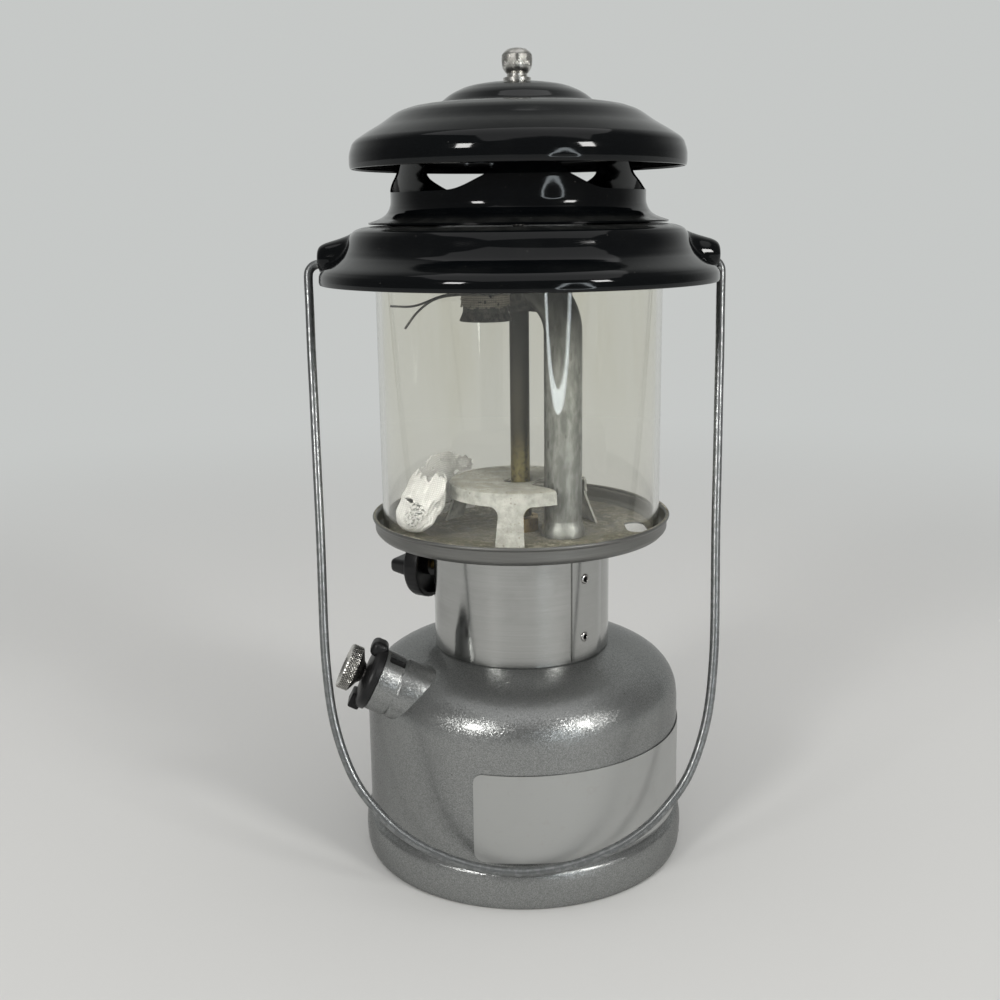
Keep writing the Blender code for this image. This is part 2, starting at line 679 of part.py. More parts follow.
def make_pump_cap():
    """Plastic cap over the housing's mouth, with a lug above and a tab below."""
    outer = HOUSING_RADIUS + PUMP_CAP_STANDOUT
    hole = ROD_RADIUS + ROD_CLEARANCE
    low = GAP
    high = GAP + PUMP_CAP_THICKNESS
    outline = [
        (0.45 * outer, high), (0.9 * outer, high - 0.16 * PUMP_CAP_THICKNESS),
        (outer, high - 0.34 * PUMP_CAP_THICKNESS), (outer, low), (hole, low), (hole, high),
    ]
    cap = turned("pump_cap", outline, MATERIALS["plastic"], loop=True, axis=PUMP_AXIS)
    lug = block(
        "cap_lug", (PUMP_CAP_LUG_WIDTH, PUMP_CAP_LUG, PUMP_CAP_THICKNESS),
        (0, outer + 0.1 * PUMP_CAP_LUG, low + 0.62 * PUMP_CAP_THICKNESS), None, axis=PUMP_AXIS)
    tab = block(
        "cap_tab", (PUMP_CAP_TAB_WIDTH, 2 * PUMP_CAP_TAB, PUMP_CAP_THICKNESS),
        (0, -outer + 0.75 * PUMP_CAP_TAB, low + 0.75 * PUMP_CAP_THICKNESS), None, axis=PUMP_AXIS)
    return fuse(cap, lug, tab)


def knob_levels():
    """Neck foot, rim foot and outer face of the pump's knob, along the pump's axis."""
    neck = GAP + PUMP_CAP_THICKNESS + KNOB_STANDOFF
    rim = neck + KNOB_NECK
    return neck, rim, rim + KNOB_RIM


def make_pump_knob():
    neck, rim, face = knob_levels()
    bore = ROD_RADIUS + GAP
    edge = 0.12 * KNOB_RIM
    outline = [
        (0, face - edge), (0.8 * KNOB_RADIUS, face), (KNOB_RADIUS - edge, face), (KNOB_RADIUS, face - edge),
        (KNOB_RADIUS, rim + edge), (KNOB_RADIUS - edge, rim), (KNOB_NECK_RADIUS, neck), (bore, neck),
        (bore, rim + 0.5 * KNOB_RIM), (0, rim + 0.5 * KNOB_RIM),
    ]
    return turned("pump_knob", outline, MATERIALS["chrome"], steps=20, axis=PLUNGER_AXIS)


def rod_levels():
    """Top and bottom of the plunger's hollow rod, along the pump's axis."""
    top = knob_levels()[1] + 0.5 * KNOB_RIM - GAP
    return top, check_valve_top() + PLUNGER_END_CLEARANCE


def make_pump_rod():
    top, bottom = rod_levels()
    return turned("pump_rod", ring(ROD_BORE, ROD_RADIUS, bottom, top), MATERIALS["steel"], steps=16,
                  loop=True, axis=PLUNGER_AXIS)


def make_pump_cup():
    """Leather cup with its hollow towards the barrel's foot."""
    bottom = rod_levels()[1] + CUP_NUT_THICKNESS + GAP
    top = bottom + CUP_LENGTH
    outer = BARREL_RADIUS - BARREL_WALL - GAP
    hole = ROD_RADIUS + GAP
    outline = [
        (0.8 * outer, top), (outer, top - 0.3 * CUP_LENGTH), (outer, bottom),
        (outer - CUP_LIP, bottom), (outer - CUP_LIP, bottom + CUP_HOLLOW),
        (CUP_NUT_RADIUS, bottom + CUP_HOLLOW), (CUP_NUT_RADIUS, bottom), (hole, bottom), (hole, top),
    ]
    return turned("pump_cup", outline, MATERIALS["rubber"], steps=SMALL_STEPS, loop=True, axis=PLUNGER_AXIS)


def make_cup_nut():
    bottom = rod_levels()[1]
    return turned("cup_nut", ring(ROD_RADIUS + GAP, CUP_NUT_RADIUS, bottom, bottom + CUP_NUT_THICKNESS),
                  MATERIALS["steel"], steps=16, loop=True, axis=PLUNGER_AXIS)


def check_valve_top():
    return -BARREL_LENGTH + BARREL_WALL + GAP + CHECK_HEAD


def make_check_valve():
    top = check_valve_top()
    under_head = top - CHECK_HEAD
    outline = [
        (CHECK_BORE_RADIUS, top), (CHECK_HEAD_RADIUS, top), (CHECK_HEAD_RADIUS, under_head),
        (CHECK_SHANK_RADIUS, under_head), (CHECK_SHANK_RADIUS, under_head - CHECK_SHANK),
        (0, under_head - CHECK_SHANK), (0, top - CHECK_BORE_DEPTH), (CHECK_BORE_RADIUS, top - CHECK_BORE_DEPTH),
    ]
    return turned("check_valve", outline[:6] + outline[6:] + [outline[0]], MATERIALS["brass"], steps=16,
                  axis=PUMP_AXIS)


def make_air_stem():
    low = check_valve_top() - CHECK_BORE_DEPTH + GAP
    high = rod_levels()[0] - KNOB_RIM
    return cylinder("air_stem", STEM_RADIUS, low, high, MATERIALS["steel"], steps=10, axis=PUMP_AXIS)


def make_filler_neck():
    inner = FILLER_NECK_RADIUS - FILLER_NECK_WALL
    neck = turned("filler_neck", ring(inner, FILLER_NECK_RADIUS, -FILLER_NECK_REACH, FILLER_NECK_RISE),
                  MATERIALS["tank"], steps=24, loop=True, axis=FILLER_AXIS)
    return cut(neck, DOME_CUTTER)


def make_filler_gasket():
    low = FILLER_NECK_RISE + GAP
    inner = FILLER_NECK_RADIUS - FILLER_NECK_WALL - FILLER_CAP_WALL
    return turned("filler_gasket", ring(inner, FILLER_NECK_RADIUS, low, low + FILLER_GASKET),
                  MATERIALS["rubber"], steps=24, loop=True, axis=FILLER_AXIS)


def make_filler_cap():
    roof = FILLER_NECK_RISE + 2 * GAP + FILLER_GASKET
    top = roof + FILLER_CAP_ROOF
    bore = FILLER_NECK_RADIUS + GAP
    outer = bore + FILLER_CAP_WALL + FILLER_GRIP_DEPTH
    bottom = roof - FILLER_CAP_SKIRT
    outline = [
        (0, top), (outer - FILLER_CAP_CHAMFER, top), (outer, top - FILLER_CAP_CHAMFER), (outer, bottom),
        (bore, bottom), (bore, roof), (0, roof),
    ]
    cap = turned("filler_cap", outline, MATERIALS["plastic"], steps=24, axis=FILLER_AXIS)
    for index in range(FILLER_GRIPS):
        angle = deg(360) * (index + 0.5) / FILLER_GRIPS
        reach = outer - FILLER_GRIP_DEPTH + FILLER_GRIP_RADIUS
        flute = cylinder(
            f"grip_{index}", FILLER_GRIP_RADIUS, bottom - OVERRUN, top + OVERRUN, None, steps=8,
            axis=FILLER_AXIS,
            turn=Matrix.Translation((reach * math.cos(angle), reach * math.sin(angle), 0)))
        cut(cap, flute)
    return cap


def make_collar():
    outline = [(COLLAR_RADIUS, COLLAR_TOP), (COLLAR_RADIUS, COLLAR_BOTTOM)]
    collar = turned("collar_band", outline, MATERIALS["steel"], steps=BIG_STEPS, sheet=COLLAR_SHEET)
    port = cylinder("collar_port", COLLAR_PORT, VALVE_BOSS_REACH, DIAL_FROM, None, axis=VALVE_AXIS)
    cut(collar, port)
    for index, share in enumerate(RIVET_HEIGHTS_SHARE):
        cut(collar, rivet_piece(f"rivet_hole_{index}", share, None, RIVET_SHANK_RADIUS + GAP))
    return collar


def rivet_piece(name, height_share, material, radius):
    """A rivet through the collar, or with no material the hole for one."""
    head = GAP if material is not None else -COLLAR_SHEET
    inside = -COLLAR_SHEET - GAP
    outline = [
        (0, head + RIVET_HEAD), (0.7 * RIVET_HEAD_RADIUS, head + 0.7 * RIVET_HEAD),
        (RIVET_HEAD_RADIUS, head), (radius, head), (radius, inside), (RIVET_HEAD_RADIUS, inside),
        (RIVET_HEAD_RADIUS, inside - RIVET_HEAD), (0, inside - RIVET_HEAD),
    ]
    if material is None:
        outline = [(0, OVERRUN), (radius, OVERRUN), (radius, inside - OVERRUN), (0, inside - OVERRUN)]
    rivet = turned(name, outline, material, steps=12)
    direction = round_from_front(RIVET_ANGLE, 1.0)
    centre = direction * COLLAR_RADIUS + Vector((0, 0, COLLAR_BOTTOM + COLLAR_HEIGHT * height_share))
    rivet.matrix_world = along(direction, centre)
    return rivet


def make_rivets():
    for name, share in zip(("collar_rivet_upper", "collar_rivet_lower"), RIVET_HEIGHTS_SHARE):
        rivet_piece(name, share, MATERIALS["steel"], RIVET_SHANK_RADIUS)


def flange_bottom():
    return SHOULDER_Z + DOME_RISE + GAP


def make_valve_body():
    """Turned body on a hex flange, with a boss towards the knob and a nose up through the tray."""
    low = flange_bottom()
    nose_from = TRAY_UNDER - GAP
    nose_top = TRAY_MIDDLE + GAP + JAM_NUT - GAP
    outline = [
        (0, nose_top), (VALVE_NOSE_RADIUS, nose_top), (VALVE_NOSE_RADIUS, nose_from),
        (VALVE_BODY_RADIUS, nose_from), (VALVE_BODY_RADIUS, low + 0.5 * VALVE_FLANGE),
        (BUNG_RADIUS - GAP, low + 0.5 * VALVE_FLANGE), (BUNG_RADIUS - GAP, low - VALVE_SPIGOT),
        (0, low - VALVE_SPIGOT),
    ]
    body = turned("valve_body", outline, MATERIALS["brass"], steps=24)
    flange = cylinder("valve_flange", VALVE_FLANGE_RADIUS, low, low + VALVE_FLANGE, None, steps=6)
    boss = cylinder("valve_boss", VALVE_BOSS_RADIUS, 0, VALVE_BOSS_REACH, None, axis=VALVE_AXIS)
    spindle_bore = cylinder(
        "spindle_bore", SPINDLE_RADIUS + GAP, VALVE_BOSS_REACH - SPINDLE_SINK - GAP, VALVE_BOSS_REACH + OVERRUN,
        None, axis=VALVE_AXIS)
    needle_bore = cylinder(
        "needle_bore", NEEDLE_RADIUS + GAP, nose_top - JAM_NUT, nose_top + OVERRUN, None, steps=10)
    fuse(body, flange, boss)
    return cut(body, spindle_bore, needle_bore)


def make_packing_nut():
    low = VALVE_BOSS_REACH + GAP
    nut = cylinder("packing_nut", PACKING_RADIUS, low, low + PACKING_LENGTH, MATERIALS["brass"], steps=6,
                   axis=VALVE_AXIS)
    hole = cylinder("packing_hole", SPINDLE_RADIUS + GAP, low - OVERRUN, low + PACKING_LENGTH + OVERRUN, None,
                    axis=VALVE_AXIS)
    return cut(nut, hole)


def dial_levels():
    """Inner face, disc face and fin face of the control knob, out from the lantern's axis."""
    face = DIAL_FROM + DIAL_THICKNESS
    return DIAL_FROM, face, face + FIN_HEIGHT


def make_valve_stem():
    high = dial_levels()[2] - SPINDLE_END
    return cylinder("valve_stem", SPINDLE_RADIUS, VALVE_BOSS_REACH - SPINDLE_SINK, high, MATERIALS["brass"],
                    axis=VALVE_AXIS)


def make_control_knob():
    inner, face, fin_face = dial_levels()
    wall = DIAL_RADIUS - DIAL_CUP_WALL
    edge = 0.2 * DIAL_THICKNESS
    outline = [
        (0, face), (DIAL_RADIUS - edge, face), (DIAL_RADIUS, face - edge), (DIAL_RADIUS, inner),
        (wall, inner), (wall, inner + DIAL_CUP_DEPTH), (DIAL_HUB_RADIUS, inner + DIAL_CUP_DEPTH),
        (DIAL_HUB_RADIUS, inner), (0, inner),
    ]
    knob = turned("control_knob", outline, MATERIALS["plastic"], axis=VALVE_AXIS)
    half = FIN_LENGTH / 2
    taper = 0.14 * FIN_LENGTH
    fin_outline = [
        (-half, face - edge), (half, face - edge), (half - taper, fin_face), (-half + taper, fin_face)]
    fin = prism("knob_fin", fin_outline, -FIN_WIDTH / 2, FIN_WIDTH / 2, None, axis=VALVE_AXIS,
                turn=Matrix.Rotation(deg(90), 4, "X"))
    spindle_hole = cylinder("knob_bore", SPINDLE_RADIUS + GAP, inner - OVERRUN, fin_face - SPINDLE_END + GAP,
                            None, axis=VALVE_AXIS)
    screw_hole = cylinder("knob_recess", SCREW_RADIUS + GAP, fin_face - SPINDLE_END, fin_face + OVERRUN, None,
                          axis=VALVE_AXIS)
    return cut(fuse(knob, fin), spindle_hole, screw_hole)


def make_knob_screw():
    low = dial_levels()[2] - SPINDLE_END + GAP
    return cylinder("knob_screw", SCREW_RADIUS, low, low + SCREW_HEAD, MATERIALS["steel"], steps=16,
                    axis=VALVE_AXIS)


def make_pickup_tube():
    """Bent brass tube from the valve down beside the pump's barrel."""
    top = flange_bottom() - VALVE_SPIGOT - GAP
    bottom = BASE_RECESS + PICKUP_CLEAR
    away = Vector((0, 1, 0)) * PICKUP_SIDESTEP
    bend = 0.16 * (top - bottom)
    points = [Vector((0, 0, top)), Vector((0, 0, top - 0.5 * bend))]
    for index in range(1, 6):
        share = index / 6
        ease = (1 - math.cos(math.pi * share)) / 2
        points.append(away * ease + Vector((0, 0, top - bend * (0.5 + 2 * share))))
    points += [away + Vector((0, 0, top - 2.5 * bend)), away + Vector((0, 0, bottom))]
    return wire("fuel_pickup_tube", points, PICKUP_RADIUS, MATERIALS["brass"])


def make_tray():
    inner_under = TRAY_UNDER
    outer_under = TRAY_UNDER + TRAY_STEP
    outline = [
        (TRAY_RADIUS, outer_under + TRAY_RIM), (TRAY_RADIUS, outer_under + TRAY_ROUND),
        (TRAY_RADIUS - 0.3 * TRAY_ROUND, outer_under + 0.3 * TRAY_ROUND),
        (TRAY_RADIUS - TRAY_ROUND, outer_under),
        (TRAY_STEP_RADIUS + TRAY_STEP, outer_under), (TRAY_STEP_RADIUS - TRAY_STEP, inner_under),
        (VALVE_NOSE_RADIUS + GAP, inner_under),
    ]
    tray = turned("tray", outline, MATERIALS["tray"], steps=BIG_STEPS, sheet=TRAY_SHEET)
    half = (LIGHTING_LENGTH - LIGHTING_WIDTH) / 2
    oval = [
        (LIGHTING_X + LIGHTING_WIDTH / 2 * math.cos(deg(a)),
         LIGHTING_Y + math.copysign(half, math.sin(deg(a))) + LIGHTING_WIDTH / 2 * math.sin(deg(a)))
        for a in range(15, 375, 30)
    ]
    lighting = prism("lighting_hole", oval, TRAY_UNDER - OVERRUN, TRAY_SEAT + OVERRUN, None)
    foot = round_from_front(AIR_TUBE_ANGLE, AIR_TUBE_OFFSET)
    air = cylinder("air_hole", AIR_TUBE_RADIUS - AIR_TUBE_WALL, TRAY_UNDER - OVERRUN, TRAY_SEAT + OVERRUN, None,
                   turn=Matrix.Translation(foot))
    return cut(tray, lighting, air)


def make_jam_nut():
    low = TRAY_MIDDLE + GAP
    nut = cylinder("generator_jam_nut", JAM_NUT_RADIUS, low, low + JAM_NUT, MATERIALS["brass"], steps=6)
    hole = cylinder("jam_nut_hole", VALVE_NOSE_RADIUS + GAP, low - OVERRUN, low + JAM_NUT + OVERRUN, None)
    return cut(nut, hole)


def make_heat_shield():
    """Flanged disc on three spread legs, notched where the air tube passes."""
    top = TRAY_MIDDLE + SHIELD_HEIGHT
    flange = top - SHIELD_FLANGE
    outline = [
        (SHIELD_HOLE, top - SHIELD_DISH), (0.8 * SHIELD_RADIUS, top - 0.3 * SHIELD_DISH),
        (0.95 * SHIELD_RADIUS, top - SHIELD_DISH), (SHIELD_RADIUS, top - 2.5 * SHIELD_DISH),
        (SHIELD_RADIUS, flange),
    ]
    shield = turned("heat_shield", outline, MATERIALS["ash"], steps=BIG_STEPS, sheet=SHIELD_SHEET)
    foot_z = TRAY_MIDDLE + GAP
    for index in range(SHIELD_LEGS):
        angle = SHIELD_LEG_ANGLE + 360 * index / SHIELD_LEGS
        fuse(shield, shield_leg(f"shield_leg_{index}", angle, flange + 0.4 * SHIELD_FLANGE, foot_z))
    notch = [
        (-SHIELD_CUT_NARROW, SHIELD_CUT_FROM), (SHIELD_CUT_NARROW, SHIELD_CUT_FROM),
        (SHIELD_CUT_WIDE, SHIELD_RADIUS), (SHIELD_CUT_WIDE, SHIELD_RADIUS + SHIELD_CUT_FROM),
        (-SHIELD_CUT_WIDE, SHIELD_RADIUS + SHIELD_CUT_FROM), (-SHIELD_CUT_WIDE, SHIELD_RADIUS),
    ]
    turn = Matrix.Rotation(deg(AIR_TUBE_ANGLE - 180), 4, "Z")
    cutter = prism("shield_notch", notch, foot_z, top + OVERRUN, None, turn=turn)
    return cut(shield, cutter)


def shield_leg(name, angle, top, foot):
    """A leg as a flat strip that widens in a fillet under the flange."""
    half = SHIELD_LEG_WIDTH / 2
    inner = SHIELD_RADIUS - SHIELD_SHEET
    section = [
        (inner, top), (SHIELD_RADIUS, top), (SHIELD_RADIUS + SHIELD_LEG_SPREAD, foot),
        (SHIELD_RADIUS + SHIELD_LEG_SPREAD - SHIELD_SHEET, foot),
    ]
    turn = Matrix.Rotation(deg(angle - 90), 4, "Z") @ Matrix.Rotation(deg(90), 4, "X")
    return prism(name, section, -half, half, None, turn=turn)


def air_tube_path(extra=0.0):
    """Centre line of the air tube: up from the tray, then over to the mixing chamber."""
    foot = TRAY_MIDDLE + GAP
    out = round_from_front(AIR_TUBE_ANGLE, 1.0)
    start = CHAMBER_BOTTOM + AIR_INLET_HEIGHT - AIR_TUBE_BEND
    points = [
        out * AIR_TUBE_OFFSET + Vector((0, 0, foot - extra)),
        out * AIR_TUBE_OFFSET + Vector((0, 0, foot + 0.25 * AIR_TUBE_RADIUS)),
        out * AIR_TUBE_OFFSET + Vector((0, 0, foot + 0.7 * AIR_TUBE_RADIUS)),
    ]
    for index in range(AIR_TUBE_BEND_POINTS):
        angle = deg(90) * index / (AIR_TUBE_BEND_POINTS - 1)
        radius = AIR_TUBE_OFFSET - AIR_TUBE_BEND * (1 - math.cos(angle))
        points.append(out * radius + Vector((0, 0, start + AIR_TUBE_BEND * math.sin(angle))))
    return points


def make_air_tube():
    shares = [AIR_TUBE_FLARE_SHARE, AIR_TUBE_FLARE_SHARE] + [1.0] * (1 + AIR_TUBE_BEND_POINTS)
    tube = curve_to_mesh(
        wire("air_tube", air_tube_path(), AIR_TUBE_RADIUS, MATERIALS["aluminium"], sides=5, radii_share=shares),
        MATERIALS["aluminium"])
    bore = curve_to_mesh(
        wire("air_tube_bore", air_tube_path(OVERRUN), AIR_TUBE_RADIUS - AIR_TUBE_WALL, None, sides=5), None)
    chamber = cylinder("chamber_clearance", CHAMBER_RADIUS + GAP, CHAMBER_BOTTOM - GAP, CHAMBER_TOP + GAP, None,
                       steps=24)
    return cut(tube, bore, chamber)


def make_generator():
    low = TRAY_MIDDLE + GAP + JAM_NUT + GAP
    return turned("generator_tube", ring(GENERATOR_BORE, GENERATOR_RADIUS, low, GENERATOR_TOP_Z),
                  MATERIALS["tinted"], steps=20, loop=True)


def make_gas_tip():
    low = GENERATOR_TOP_Z + GAP
    return turned("gas_tip", ring(TIP_BORE, TIP_RADIUS, low, low + TIP_LENGTH), MATERIALS["brass"], steps=12,
                  loop=True)


def make_cleaning_needle():
    low = TRAY_MIDDLE + 2 * GAP
    high = GENERATOR_TOP_Z - NEEDLE_LIFT
    return cylinder("cleaning_needle", NEEDLE_RADIUS, low, high, MATERIALS["steel"], steps=8)


def burner_places():
    """Name, direction and centre of each burner."""
    for name, angle in (("near", BURNER_ANGLE), ("far", BURNER_ANGLE + 180)):
        yield name, round_from_front(angle, 1.0), round_from_front(angle, ARM_REACH)


def make_manifold():
    """Mixing chamber with an arm and a burner tube to each side."""
    chamber = cylinder("burner_manifold", CHAMBER_RADIUS, CHAMBER_BOTTOM, CHAMBER_TOP, MATERIALS["aluminium"],
                       steps=24)
    tube_radius = CAP_RADIUS - CAP_WALL - GAP
    for name, direction, centre in burner_places():
        arm = cylinder(f"arm_{name}", ARM_RADIUS, 0, ARM_REACH, None, steps=16,
                       turn=along(direction, Vector((0, 0, ARM_Z))))
        elbow = cylinder(f"elbow_{name}", tube_radius, BURNER_MOUTH, ARM_Z + 0.9 * ARM_RADIUS, None,
                         turn=Matrix.Translation(centre))
        fuse(chamber, arm, elbow)
    tip_bore = cylinder("tip_bore", TIP_RADIUS + GAP, CHAMBER_BOTTOM - OVERRUN,
                        CHAMBER_BOTTOM + CHAMBER_BORE_DEPTH, None, steps=12)
    return cut(chamber, tip_bore)


def make_burner_caps():
    bore = CAP_RADIUS - CAP_WALL
    lip = CAP_RADIUS + CAP_LIP
    ledge = bore - CAP_LEDGE
    low = CAP_BOTTOM
    outline = [
        (CAP_RADIUS, low + CAP_HEIGHT), (CAP_RADIUS, low + CAP_LIP_HEIGHT),
        (CAP_RADIUS + 0.3 * CAP_LIP, low + 0.5 * CAP_LIP_HEIGHT), (lip, low + 0.12 * CAP_LIP_HEIGHT),
        (lip, low), (ledge, low), (ledge, low + CAP_LEDGE_HEIGHT), (bore, low + CAP_LEDGE_HEIGHT),
        (bore, low + CAP_HEIGHT),
    ]
    for name, _, centre in burner_places():
        cap = turned(f"burner_cap_{name}", outline, MATERIALS["steel"], steps=18, loop=True)
        cap.location = centre


def make_burner_screens():
    low = CAP_BOTTOM + CAP_LEDGE_HEIGHT + GAP
    radius = CAP_RADIUS - CAP_WALL - GAP
    for name, _, centre in burner_places():
        cylinder(f"burner_screens_{name}", radius, low, low + SCREEN_THICKNESS, MATERIALS["steel"],
                 turn=Matrix.Translation(centre))


def make_mantle_remnants():
    """What is left of each mantle: a torn sleeve round the cap, with a ragged lower edge."""
    top = CAP_BOTTOM + CAP_HEIGHT
    bottom = top - REMNANT_DROP
    radius = CAP_RADIUS + GAP + REMNANT_SHEET
    steps = 24
    for name, direction, centre in burner_places():
        bm = bmesh.new()
        bmesh.ops.create_cone(
            bm, cap_ends=False, segments=steps, radius1=radius, radius2=radius, depth=top - bottom,
            matrix=Matrix.Translation(centre + Vector((0, 0, (top + bottom) / 2))))
        for vert in bm.verts:
            if vert.co.z < (top + bottom) / 2:
                angle = math.atan2(vert.co.y - centre.y, vert.co.x - centre.x)
                vert.co.z += REMNANT_RAG * (1 + math.sin(REMNANT_RAGS * angle + direction.y))
        remnant = mesh_object(f"mantle_remnant_{name}", bm, MATERIALS["mantle"])
        shell = remnant.modifiers.new("Sheet", "SOLIDIFY")
        shell.thickness = REMNANT_SHEET
        shell.offset = -1


def clip_path():
    """Wire clip: two springy legs joined by a loop round the near cap's neck."""
    centre = round_from_front(BURNER_ANGLE, ARM_REACH)
    height = CAP_BOTTOM + CLIP_ABOVE_CAP_LIP
    radius = CAP_RADIUS + 2 * GAP + REMNANT_SHEET + CLIP_RADIUS
    inside_globe = GLOBE_RADIUS - GLOBE_WALL
    opening = deg(180)
    first = opening + deg((360 - CLIP_LOOP_SWEEP) / 2)
    loop = []
    for index in range(CLIP_LOOP_POINTS):
        angle = first + deg(CLIP_LOOP_SWEEP) * index / (CLIP_LOOP_POINTS - 1)
        loop.append(centre + Vector((radius * math.cos(angle), radius * math.sin(angle), height)))
    low_leg = [
        Vector((-0.79 * inside_globe, -0.47 * inside_globe, height - 1.25 * CLIP_ABOVE_CAP_LIP)),
        Vector((-0.70 * inside_globe, -0.47 * inside_globe, height - 0.62 * CLIP_ABOVE_CAP_LIP)),
        Vector((-0.56 * inside_globe, -0.47 * inside_globe, height - 0.15 * CLIP_ABOVE_CAP_LIP)),
    ]
    high_leg = [
        Vector((-0.54 * inside_globe, -0.34 * inside_globe, height - 0.12 * CLIP_ABOVE_CAP_LIP)),
        Vector((-0.74 * inside_globe, -0.26 * inside_globe, height - 0.52 * CLIP_ABOVE_CAP_LIP)),
        Vector((-0.92 * inside_globe, -0.17 * inside_globe, height - 0.54 * CLIP_ABOVE_CAP_LIP)),
    ]
    return high_leg[::-1] + loop[::-1] + low_leg[::-1]


def make_mantle_clip():
    return wire("mantle_clip", clip_path(), CLIP_RADIUS, MATERIALS["tinted"], sides=1)


def crumpled_sheet(name, corner, across, up, width, height, curl, arch):
    """A scrap of burnt knit: a small rumpled sheet that stands curled, lower at its ends."""
    columns, rows = 8, 6
    bm = bmesh.new()
    grid = []
    normal = across.cross(up).normalized()
    for j in range(rows + 1):
        line = []
        for i in range(columns + 1):
            u, v = i / columns, j / rows
            fold = curl * width * math.sin(math.pi * u) * (0.4 + 0.6 * v)
            rumple = 0.04 * width * math.sin(7 * u + 4 * v) * math.sin(5 * v + 2 * u)
            narrow = 1 - 0.25 * v * v
            rise = height * v * (1 - arch * (2 * u - 1) ** 2)
            line.append(bm.verts.new(
                corner + across * width * (0.5 + (u - 0.5) * narrow) + up * rise
                + normal * (fold + rumple)))
        grid.append(line)
    for j in range(rows):
        for i in range(columns):
            bm.faces.new((grid[j][i], grid[j][i + 1], grid[j + 1][i + 1], grid[j + 1][i]))
    scrap = mesh_object(name, bm, MATERIALS["mantle"])
    shell = scrap.modifiers.new("Sheet", "SOLIDIFY")
    shell.thickness = SCRAP_SHEET
    shell.offset = 0
    return scrap


def make_mantle_scraps():
    inside = GLOBE_RADIUS - GLOBE_WALL
    floor = TRAY_SEAT + SCRAP_LIFT
    front = Vector((-0.945 * inside, -0.08 * inside, floor))
    crumpled_sheet("mantle_scrap_front", front, Vector((0.477, -0.879, 0)), Vector((0.5, 0.1, 0.86)),
                   SCRAP_FRONT_WIDTH, SCRAP_FRONT_HEIGHT, 0.12, 0.12)
    back = Vector((-0.775 * inside, 0.18 * inside, floor))
    crumpled_sheet("mantle_scrap_back", back, Vector((0.673, 0.739, 0)), Vector((0.02, -0.04, 0.999)),
                   SCRAP_BACK_WIDTH, SCRAP_BACK_HEIGHT, -0.1, 0.27)


def make_globe():
    outline = ring(GLOBE_RADIUS - GLOBE_WALL, GLOBE_RADIUS, GLOBE_BOTTOM, GLOBE_TOP)
    return turned("globe", outline, MATERIALS["glass"], steps=BIG_STEPS, loop=True)


def make_inner_baffle():
    """Ring inside the hood whose lower flange rests on the globe's top edge."""
    low = GLOBE_TOP + GAP
    skirt_under = read_outline(skirt_outline(), SKIRT_TOP_RADIUS) - 1.5 * HOOD_SHEET
    high = skirt_under - GAP
    outline = [
        (BAFFLE_RADIUS + BAFFLE_TOP_LAP, high), (BAFFLE_RADIUS, high - 0.5 * BAFFLE_SHEET),
        (BAFFLE_RADIUS, low + 1.5 * BAFFLE_SHEET), (GLOBE_RADIUS - GLOBE_WALL, low + BAFFLE_SHEET),
        (GLOBE_RADIUS + BAFFLE_LAP, low + BAFFLE_SHEET),
    ]
    shell = turned("inner_baffle", outline, MATERIALS["enamel"], steps=BIG_STEPS, sheet=BAFFLE_SHEET)
    shell.modifiers["Sheet"].offset = 1
    return shell


def make_skirt():
    """Hood skirt with a hollow stamped ear at each side for the bail."""
    skirt = turned("hood_skirt", skirt_outline(), MATERIALS["enamel"], steps=BIG_STEPS, sheet=HOOD_SHEET)
    centre_z = PIVOT_Z + EAR_ABOVE_PIVOT
    for name, side in (("left", -1), ("right", 1)):
        turn = along(Vector((side, 0, 0)), Vector((0, 0, centre_z)))
        ear = cylinder(f"ear_{name}", EAR_RADIUS, EAR_ROOT, EAR_FACE, None, turn=turn,
                       radius_top=0.86 * EAR_RADIUS)
        hollow = cylinder(f"ear_hollow_{name}", EAR_RADIUS - HOOD_SHEET, EAR_ROOT - SKIRT_DROP / 2,
                          EAR_FACE - HOOD_SHEET, None, turn=turn, radius_top=0.86 * EAR_RADIUS - HOOD_SHEET)
        hole = cylinder(f"ear_hole_{name}", EAR_HOLE, EAR_ROOT, EAR_FACE + OVERRUN, None, steps=16,
                        turn=along(Vector((side, 0, 0)), Vector((0, 0, PIVOT_Z))))
        fuse(skirt, ear)
        cut(skirt, hollow, hole)
    return skirt


def make_neck():
    """Neck with three vent windows, which leave three tabs that carry the canopy."""
    neck = turned("hood_neck", neck_outline(), MATERIALS["enamel"], steps=BIG_STEPS, sheet=HOOD_SHEET)
    sill = neck_outline()[-1][1] + WINDOW_SILL
    above = CANOPY_TOP_Z
    half = WINDOW_HALF_WIDTH
    right = [(half * x, sill + WINDOW_OPEN_HEIGHT * z) for x, z in WINDOW_SHARES] + [(half, above)]
    outline = right + [(-x, z) for x, z in right[::-1]]
    for index in range(WINDOWS):
        angle = WINDOW_TURN + 360 * (index + 0.5) / WINDOWS
        turn = Matrix.Rotation(deg(angle), 4, "Z") @ Matrix.Rotation(deg(90), 4, "X")
        cut(neck, prism(f"window_{index}", outline, NECK_RADIUS / 3, NECK_FOOT_RADIUS, None, turn=turn))
    return neck


def make_canopy():
    return turned("canopy", canopy_outline(), MATERIALS["enamel"], steps=BIG_STEPS, sheet=HOOD_SHEET)


def make_stud():
    return cylinder("top_stud", STUD_RADIUS, CHAMBER_TOP + GAP, NUT_BOTTOM + STUD_INTO_NUT, MATERIALS["steel"],
                    steps=16)


